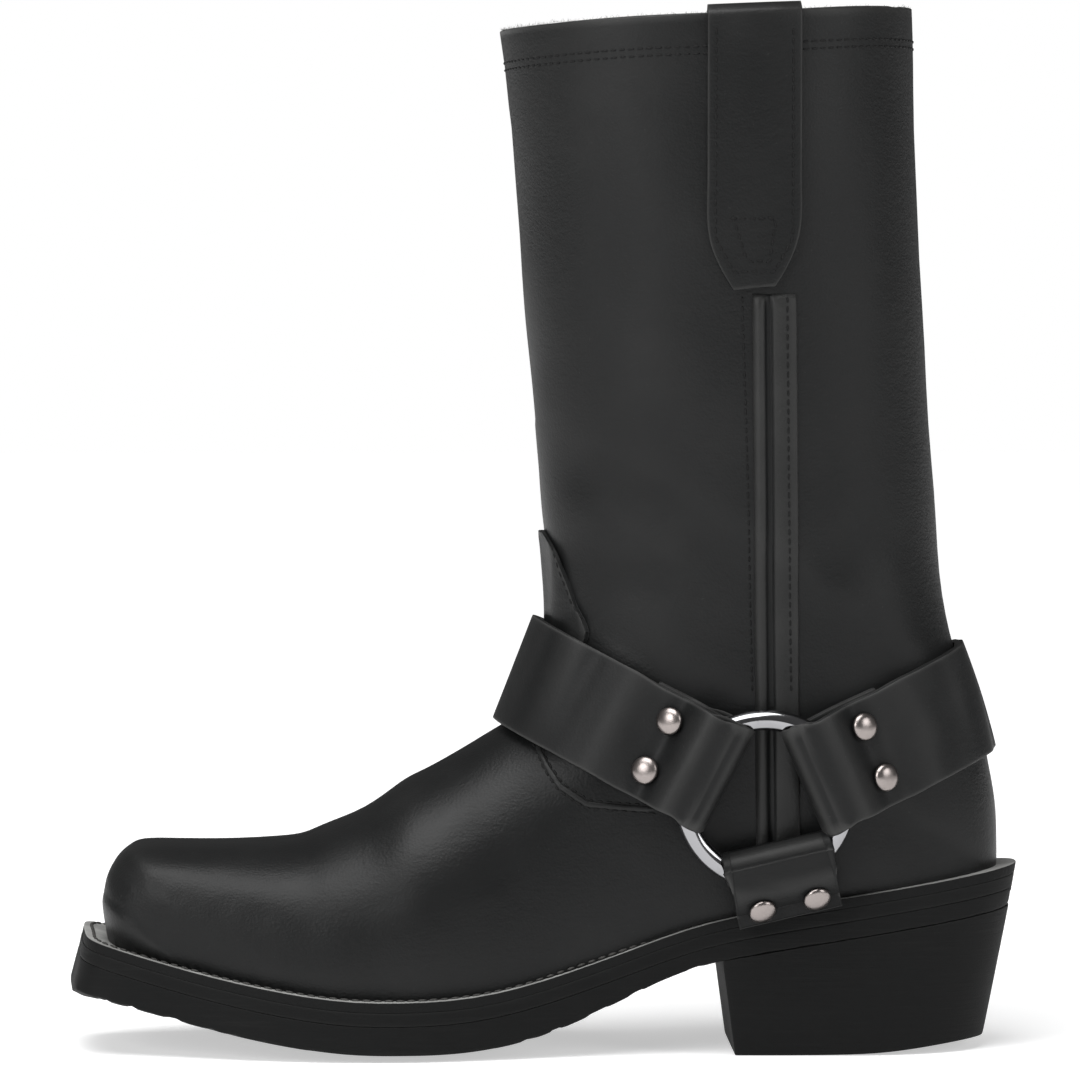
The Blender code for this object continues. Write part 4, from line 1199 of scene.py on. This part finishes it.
    def round_row(self, skin: Skin, below: float, steps: int = 160) -> Row:
        """Row of places round the shaft at a distance below the collar."""
        row: Row = []
        for step in range(steps + 1):
            angle = 2 * math.pi * step / steps
            height = self.collar_top(skin, angle) - below
            hit = skin.outermost((self.axis_x, 0.0, height), (math.cos(angle), math.sin(angle), 0.0))
            if hit is not None:
                row.append(hit)
        return row

    def rim_row(self, skin: Skin, steps: int = 220) -> Row:
        """Row of places on the raw edge of the collar, facing up."""
        up = np.array([0.0, 0.0, 1.0])
        row = self.round_row(skin, 0.0006, steps)
        return [(place - normal * 0.0010 + up * 0.0004, up + normal * 0.35) for place, normal in row]

    @staticmethod
    def side_row(skin: Skin, side: Side, line: Sequence[tuple[float, float]], steps: int = 40,
                 shift: tuple[float, float] = (0.0, 0.0)) -> Row:
        """Row of places along a smooth line seen from the side.

        Args:
            skin: Finds the faces that the row lies on.
            side: Side of the boot.
            line: Corners of the line, as X and Z.
            steps: Places along the row.
            shift: Added to X and Z.

        Returns:
            The places and the normals there.
        """
        corners = np.array(line)
        lengths = np.concatenate([[0.0], np.cumsum(np.linalg.norm(np.diff(corners, axis=0), axis=1))])
        row: Row = []
        for share in np.linspace(0.0, lengths[-1], steps):
            x = float(np.interp(share, lengths, corners[:, 0])) + shift[0]
            z = float(np.interp(share, lengths, corners[:, 1])) + shift[1]
            hit = skin.outermost((x, 0.0, z), (0.0, side.value, 0.0))
            if hit is not None and hit[0][1] * side.value > 0:
                row.append(hit)
        return row


@dataclass
class SeamWork:
    """Sewn rows on the upper: round the collar, along the vamp, its side seams and the vamp's tongue."""

    finishes: Finishes
    upper: BootUpper
    vamp_line: Line = (
        (-0.0025, 0.0980), (0.0006, 0.0908), (0.0050, 0.0844), (0.0134, 0.0790), (0.0243, 0.0780),
        (0.0345, 0.0772))
    tongue_line: Line = (
        (0.0034, 0.1600), (0.0060, 0.1516), (0.0092, 0.1432), (0.0122, 0.1388))
    front_seam: Line = ((0.0619, 0.2387), (0.0640, 0.1800), (0.0658, 0.1170))
    back_seam: Line = ((0.0760, 0.2387), (0.0768, 0.1800), (0.0780, 0.1170))

    def build(self, leather: Skin, seams: Skin) -> list[Piece]:
        """All the sewn rows.

        Args:
            leather: The upper alone.
            seams: The upper, its side seams and the tongue.

        Returns:
            The rows as two pieces.
        """
        collar = [self.upper.round_row(leather, below) for below in self.upper.collar_rows]
        rows: list[Row] = []
        for side in Side:
            place = self.upper.side_row
            rows.append(place(leather, side, self.vamp_line))
            rows.append(place(leather, side, self.vamp_line, shift=(0.0012, 0.0024)))
            rows.append(place(seams, side, self.tongue_line, 24))
            rows.append(place(seams, side, self.front_seam, 60))
            rows.append(place(seams, side, self.back_seam, 60))
        thread = self.finishes.thread
        runs = (StitchRun("collar_stitches", collar, thread), StitchRun("seam_stitches", rows, thread))
        return [run.build().dress(BOOT, "leather", (thread,)) for run in runs]


@dataclass
class SeamBead:
    """A thin turned edge of leather along a line on the upper."""

    name: str
    rows: list[Row]
    radius: float = 0.0007
    sides: int = 8

    def build(self, leather: Material) -> Piece:
        """The edge as one closed strip for each row."""
        vertices: list[tuple[float, ...]] = []
        faces: list[tuple[int, ...]] = []
        for row in self.rows:
            start = len(vertices)
            points = np.array([place for place, _ in row])
            ahead = np.gradient(points, axis=0)
            ahead /= np.linalg.norm(ahead, axis=1, keepdims=True)
            for number, (place, normal) in enumerate(row):
                across = np.cross(ahead[number], normal)
                across /= np.linalg.norm(across)
                taper = min(1.0, 0.25 + 0.75 * min(number, len(row) - 1 - number) / 3)
                for turn in range(self.sides):
                    angle = 2 * math.pi * turn / self.sides
                    offset = across * math.cos(angle) * 1.5 + normal * math.sin(angle) * 0.9
                    vertices.append(tuple(place + offset * self.radius * taper))
            tube = np.array(vertices[start:]).reshape(-1, self.sides, 3)
            faces.extend(tuple(corner + start for corner in face[::-1]) for face in quads(tube, True))
            faces.append(tuple(range(start, start + self.sides)))
            end = start + (len(row) - 1) * self.sides
            faces.append(tuple(reversed(range(end, end + self.sides))))
        piece = Piece(self.name, vertices, faces)
        piece.modifier("SUBSURF", levels=1, render_levels=1)
        return piece.worn().dress(BOOT, "leather", (leather,))


@dataclass
class SideSeam:
    """Piped seam up the side of the boot: a round bead, a groove and a flat sewn strip."""

    finishes: Finishes
    side: Side
    top: float = 0.2405
    foot: float = 0.0640
    start_x: float = 0.0672
    drift: float = 0.0024
    stations: int = 120
    sunk: float = -0.0006

    PROFILE = ((-0.0022, 0.0001), (-0.0018, 0.0010), (-0.0010, 0.0018), (0.0, 0.0021), (0.0010, 0.0018),
               (0.0017, 0.0010), (0.0022, 0.0003), (0.0030, 0.0001), (0.0037, 0.0002), (0.0041, 0.0011),
               (0.0048, 0.0014), (0.0080, 0.0014), (0.0110, 0.0013), (0.0115, 0.0009), (0.0118, 0.0002))

    def build(self, leather: Skin) -> Piece:
        """The seam as one closed piece.

        Args:
            leather: The upper that it lies on.

        Returns:
            The piece.
        """
        name = "side_seam_" + self.side.label
        rows = []
        for share in np.linspace(0.0, 1.0, self.stations):
            height = self.foot + share * (self.top - self.foot)
            middle = self.start_x + self.drift * (1 - share)
            faded = min(1.0, 0.3 + share * 40, 0.3 + (1 - share) * 40)
            face, back = [], []
            for place, rise in self.PROFILE:
                hit = leather.outermost((middle + place, 0.0, height), (0.0, self.side.value, 0.0))
                if hit is None:
                    continue
                face.append(hit[0] + hit[1] * rise * faded)
                back.append(hit[0] + hit[1] * self.sunk)
            if len(face) == len(self.PROFILE):
                rows.append(face + back[::-1])
        points = np.array(rows)
        around = points.shape[1]
        faces = quads(points, True)
        faces.append(tuple(range(around))[::-1])
        last = (len(rows) - 1) * around
        faces.append(tuple(range(last, last + around)))
        if self.side is Side.MEDIAL:
            faces = [face[::-1] for face in faces]
        piece = Piece(name + "_cover", points.reshape(-1, 3), faces).worn(1.4)
        return piece.dress(BOOT, "leather", (self.finishes.leather,), (name,))


@dataclass
class LeatherCover:
    """A CAD strap, seam or tongue made again with rounded edges."""

    name: str
    node: bpy.types.Object
    leather: Material
    rounding: float = 0.0006
    levels: int = 2
    wear: float = 1.0
    angle: float = 50.0

    def build(self) -> Piece:
        """The cover as one piece."""
        piece = Piece.from_node(self.name, self.node)
        piece.rounded(self.rounding, self.levels, self.angle).worn(self.wear)
        return piece.dress(BOOT, "leather", (self.leather,), (self.node.name,))


@dataclass
class PullStrap:
    """Pull strap over the collar, sewn round its edge and across a small window."""

    finishes: Finishes
    side: Side
    node: bpy.types.Object
    middle: float = 0.0655
    half: float = 0.0145
    inset: float = 0.0024
    length: float = 0.083
    taper: float = 0.013
    window: Line = (
        (0.0590, 0.2640), (0.0722, 0.2640), (0.0704, 0.2508), (0.0632, 0.2508), (0.0590, 0.2640))

    def build(self) -> list[Piece]:
        """The strap and its stitches."""
        name = "pull_strap_" + self.side.label
        cover = LeatherCover(name + "_cover", self.node, self.finishes.leather, 0.0005, 2, 1.4).build()
        skin = Skin(cover)
        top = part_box(self.node.name)[1][2]
        reach = self.half - self.inset
        low = top - 0.006 - self.length
        edge = ((self.middle - reach, top - 0.010), (self.middle - reach, low + self.taper + 0.002),
                (self.middle - reach * 0.52, low + 0.0045), (self.middle + reach * 0.52, low + 0.0045),
                (self.middle + reach, low + self.taper + 0.002), (self.middle + reach, top - 0.010))
        rows = [BootUpper.side_row(skin, self.side, edge, 120),
                BootUpper.side_row(skin, self.side, self.window, 40)]
        thread = self.finishes.thread
        stitches = StitchRun(name + "_stitches", rows, thread).build().dress(BOOT, "leather", (thread,))
        return [cover, stitches]


@dataclass
class HarnessRing:
    """Plated ring that turns in the folds of the straps."""

    finishes: Finishes
    side: Side
    joint: dict[str, Any]
    diameter: float = 0.057
    wire: float = 0.0066
    turns: int = 144
    sides: int = 32

    def build(self) -> Piece:
        """The ring as one piece on its own body."""
        centre = np.array(self.joint["pos_m"])
        out = np.array(self.joint["axis"])
        out = out / np.linalg.norm(out)
        ahead = np.array([1.0, 0.0, 0.0])
        up = np.cross(out, ahead)
        radius = (self.diameter - self.wire) / 2
        around = np.linspace(0, 2 * math.pi, self.turns, endpoint=False)
        across = np.linspace(0, 2 * math.pi, self.sides, endpoint=False)
        points = np.empty((self.turns, self.sides, 3))
        for number, turn in enumerate(around):
            ray = ahead * math.cos(turn) + up * math.sin(turn)
            for place, angle in enumerate(across):
                points[number, place] = centre + ray * (radius + self.wire / 2 * math.cos(angle)) \
                    + out * self.wire / 2 * math.sin(angle)
        ringed = np.concatenate([points, points[:1]])
        faces = [tuple(corner % (self.turns * self.sides) for corner in face) for face in quads(ringed, True)]
        turned = [face[::-1] for face in faces]
        piece = Piece(f"harness_ring_{self.side.label}", points.reshape(-1, 3), turned)
        return piece.dress(self.side.label + "_ring", "chrome", (self.finishes.chrome,),
                           ("ring_" + self.side.label,))


@dataclass
class Harness:
    """Straps, rings and rivets of the harness."""

    finishes: Finishes
    nodes: dict[str, bpy.types.Object]
    joints: list[dict[str, Any]]

    STRAPS = ("instep_strap", "heel_strap", "sole_strap_lateral", "sole_strap_medial")

    def build(self) -> list[Piece]:
        """Every piece of the harness."""
        pieces = [LeatherCover(name + "_cover", self.nodes[name], self.finishes.strap, 0.0007, 2, 1.6).build()
                  for name in self.STRAPS]
        for side in Side:
            joint = next(entry for entry in self.joints if entry["child"] == side.label + "_ring")
            pieces.append(HarnessRing(self.finishes, side, joint).build())
        names = sorted(name for name in self.nodes if name.startswith("rivet_"))
        places = [self.seat(self.nodes[name]) for name in names]
        rivets = RivetSet("harness_rivets", places, self.finishes.nickel).build()
        pieces.append(rivets.dress(BOOT, "nickel", (self.finishes.nickel,), names))
        return pieces

    @staticmethod
    def seat(node: bpy.types.Object) -> Hit:
        """Middle of a rivet's foot and the direction that its dome faces.

        Args:
            node: The rivet's CAD node.

        Returns:
            The place and the direction.
        """
        points = np.unique(np.round([tuple(vertex.co) for vertex in node.data.vertices], 7), axis=0)
        middle = points.mean(axis=0)
        axis = np.linalg.svd(points - middle)[2][2]
        axis = axis * np.sign(axis[1] * middle[1])
        foot = float(np.min((points - middle) @ axis))
        base = points[(points - middle) @ axis < foot + 1e-5]
        return base.mean(axis=0), axis


@dataclass
class SoleWork:
    """The sole's layers, the stacked heel, the welt's stitches and the insole."""

    finishes: Finishes
    nodes: dict[str, bpy.types.Object]
    notch_pitch: float = 0.0112
    notch_depth: float = 0.0012
    stitch_inset: float = 0.0034
    stitch_pitch: float = 0.0035
    stitched_to: float = 0.052
    toe_centre: float = -0.118
    inner_reach: float = 0.020
    facing_down: float = -0.15
    facing_aside: float = 0.25

    def build(self) -> list[Piece]:
        """Every layer, in order from the insole down."""
        layers = (
            ("insole", "insole", self.finishes.lining, 0.0004, 1, 0.0),
            ("welt", "sole", self.finishes.welt, 0.0002, 1, 0.00015),
            ("midsole", "sole", self.finishes.sole, 0.00012, 1, 0.00016),
            ("outsole", "sole", self.finishes.sole, 0.00035, 3, 0.00013),
            ("heel", "sole", self.finishes.heel, 0.0004, 2, 0.00013),
        )
        pieces = []
        for name, slot, material, rounding, levels, growth in layers:
            piece = Piece.from_node("boot_" + name, self.nodes[name])
            piece.rounded(rounding, levels, 40.0, fits=0)
            self.close_gap(piece, growth)
            if name == "outsole":
                self.notch(piece)
            piece.worn(1.2)
            pieces.append(piece.dress(BOOT, slot, (material,), (name,)))
        pieces.append(self.stitches(Skin(pieces[1])))
        return pieces

    @staticmethod
    def close_gap(piece: Piece, growth: float) -> None:
        """Thicken a layer until it meets the layers above and below it.

        Args:
            piece: The layer.
            growth: Distance that each of its flat faces moves, in metres.
        """
        upright = piece.normals()[:, 2]
        floor = piece.coordinates()[:, 2] > 0.004
        piece.move(np.outer(growth * np.sign(upright) * (np.abs(upright) > 0.6) * floor, (0.0, 0.0, 1.0)))

    def notch(self, piece: Piece) -> None:
        """Cut shallow rough notches in the lower edge, as the ground sole has."""
        points = piece.coordinates()
        normals = piece.normals()
        low = normals[:, 2] < self.facing_down
        side = np.linalg.norm(normals[:, :2], axis=1) > self.facing_aside
        place = points[:, 0] / self.notch_pitch
        pulse = np.exp(-(((place + 0.2 * np.sin(place * 2.1)) % 1.0 - 0.5) / 0.16) ** 2)
        rough = 0.5 + 0.5 * np.sin(place * 5.3 + np.sign(points[:, 1]))
        lift = self.notch_depth * pulse * rough * low * side
        piece.move(np.stack([np.zeros(len(points)), np.zeros(len(points)), lift], axis=1))

    def stitches(self, welt: Skin) -> Piece:
        """Thick stitches along the top of the welt, round the forepart."""
        row: Row = []
        places = np.linspace(self.stitched_to, self.toe_centre, 70)
        turns = np.radians(np.linspace(-90, 90, 61))
        ways = [((x, 0.0), (0.0, -1.0)) for x in places]
        ways += [((self.toe_centre, 0.0), (-math.cos(angle), math.sin(angle))) for angle in turns]
        ways += [((x, 0.0), (0.0, 1.0)) for x in places[::-1]]
        for start, way in np.array(ways):
            low, high = 0.0, 0.08
            for _ in range(16):
                middle = (low + high) / 2
                found = welt.tree.ray_cast((*(start + way * middle), 0.2), (0.0, 0.0, -1.0))[0] is not None
                low, high = (middle, high) if found or middle < self.inner_reach else (low, middle)
            spot = start + way * (low - self.stitch_inset)
            place, normal, _, _ = welt.tree.ray_cast((*spot, 0.2), (0.0, 0.0, -1.0))
            if place is not None:
                row.append((np.array(place), np.array(normal)))
        run = StitchRun("welt_stitches", [row], self.finishes.welt_thread, self.stitch_pitch, 0.0030, 0.0013,
                        0.0009, 0.0002)
        return run.build().dress(BOOT, "sole", (self.finishes.welt_thread,))


# Studio

@dataclass
class Studio:
    """Pale floor, soft lights and the camera at the photograph's viewing angle."""

    target: tuple[float, float, float] = (0.0, 0.0, 0.1621)
    distance: float = 1.90
    height: float = 0.230
    turn: float = 1.3
    lens: float = 197.9
    sensor: float = 36.0
    sky_light: float = 0.11
    sky_seen: float = 1.0

    def build(self) -> None:
        """Set the floor, the lights, the sky and the camera."""
        self.floor()
        self.sky()
        self.softbox("top_softbox", (-0.25, -0.45, 1.5), (0.0, 0.0, 0.12), 1.2, 28.0)
        self.softbox("front_left_softbox", (-1.3, -1.5, 0.9), (0.0, 0.0, 0.12), 0.9, 17.0)
        self.softbox("right_softbox", (1.5, -1.0, 0.8), (0.03, 0.0, 0.15), 0.8, 8.0)
        self.camera()

    def floor(self) -> None:
        """A wide pale floor under the boot."""
        reach = 9.0
        piece = Piece("studio_floor", [(-reach, -reach, 0.0), (reach, -reach, 0.0), (reach, reach, 0.0),
                                       (-reach, reach, 0.0)], [(0, 1, 2, 3)])
        piece.object.data.materials.append(FloorFinish().build())

    def sky(self) -> None:
        """Even pale light from all round."""
        world = bpy.data.worlds.new("studio_sky")
        world.use_nodes = True
        tree = NodeTree(world.node_tree)
        ray = tree.node("ShaderNodeLightPath")["Is Camera Ray"]
        strength = ray * (self.sky_seen - self.sky_light) + self.sky_light
        sky = tree.node("ShaderNodeBackground", {}, {"Color": (1.0, 1.0, 1.0, 1.0), "Strength": strength})
        tree.node("ShaderNodeOutputWorld", {}, {"Surface": sky["Background"]})
        bpy.context.scene.world = world

    def softbox(self, name: str, place: Sequence[float], aim: Sequence[float], size: float,
                power: float) -> None:
        """One soft light.

        Args:
            name: Its name.
            place: Where it stands.
            aim: The point that it faces.
            size: Side of its square.
            power: Its power in watts.
        """
        light = bpy.data.lights.new(name, "AREA")
        light.size = size
        light.energy = power
        made = bpy.data.objects.new(name, light)
        made.location = place
        made.rotation_euler = (Vector(aim) - Vector(place)).to_track_quat("-Z", "Y").to_euler()
        bpy.context.scene.collection.objects.link(made)

    def camera(self) -> None:
        """The camera, turned a little round the boot towards its toe."""
        angle = math.radians(self.turn)
        place = Vector((-math.sin(angle) * self.distance, -math.cos(angle) * self.distance, self.height))
        data = bpy.data.cameras.new("photo_camera")
        data.lens = self.lens
        data.sensor_width = self.sensor
        made = bpy.data.objects.new("photo_camera", data)
        made.location = place
        made.rotation_euler = (Vector(self.target) - place).to_track_quat("-Z", "Y").to_euler()
        bpy.context.scene.collection.objects.link(made)
        bpy.context.scene.camera = made


def main() -> None:
    """Build every piece of the boot in order."""
    logging.basicConfig(level=logging.INFO, format="%(name)s: %(message)s")
    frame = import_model()
    nodes = frame["nodes"]
    finishes = Finishes()
    work = BootUpper(finishes, nodes["upper"])
    upper = work.build()
    leather = Skin(upper)
    seams = [SideSeam(finishes, side).build(leather) for side in Side]
    seams.append(LeatherCover("vamp_tongue_cover", nodes["vamp_tongue"], finishes.leather, 0.0003, 1, 1.2,
                              30.0).build())
    sewing = SeamWork(finishes, work)
    sewing.build(leather, Skin(upper, *seams))
    SeamBead("vamp_edge", [work.side_row(leather, side, sewing.vamp_line, 60, (0.0006, 0.0012))
                           for side in Side]).build(finishes.leather)
    for side in Side:
        PullStrap(finishes, side, nodes["pull_strap_" + side.label]).build()
    Harness(finishes, nodes, frame["joints"]).build()
    SoleWork(finishes, nodes).build()
    fringe = FibreFringe("collar_fibres", work.rim_row(leather), finishes.pale_thread).build()
    fringe.dress(BOOT, "leather", (finishes.pale_thread,))
    Studio().build()
    bpy.context.scene.view_settings.view_transform = "Standard"
    bpy.context.view_layer.update()


if __name__ == "__main__":
    main()
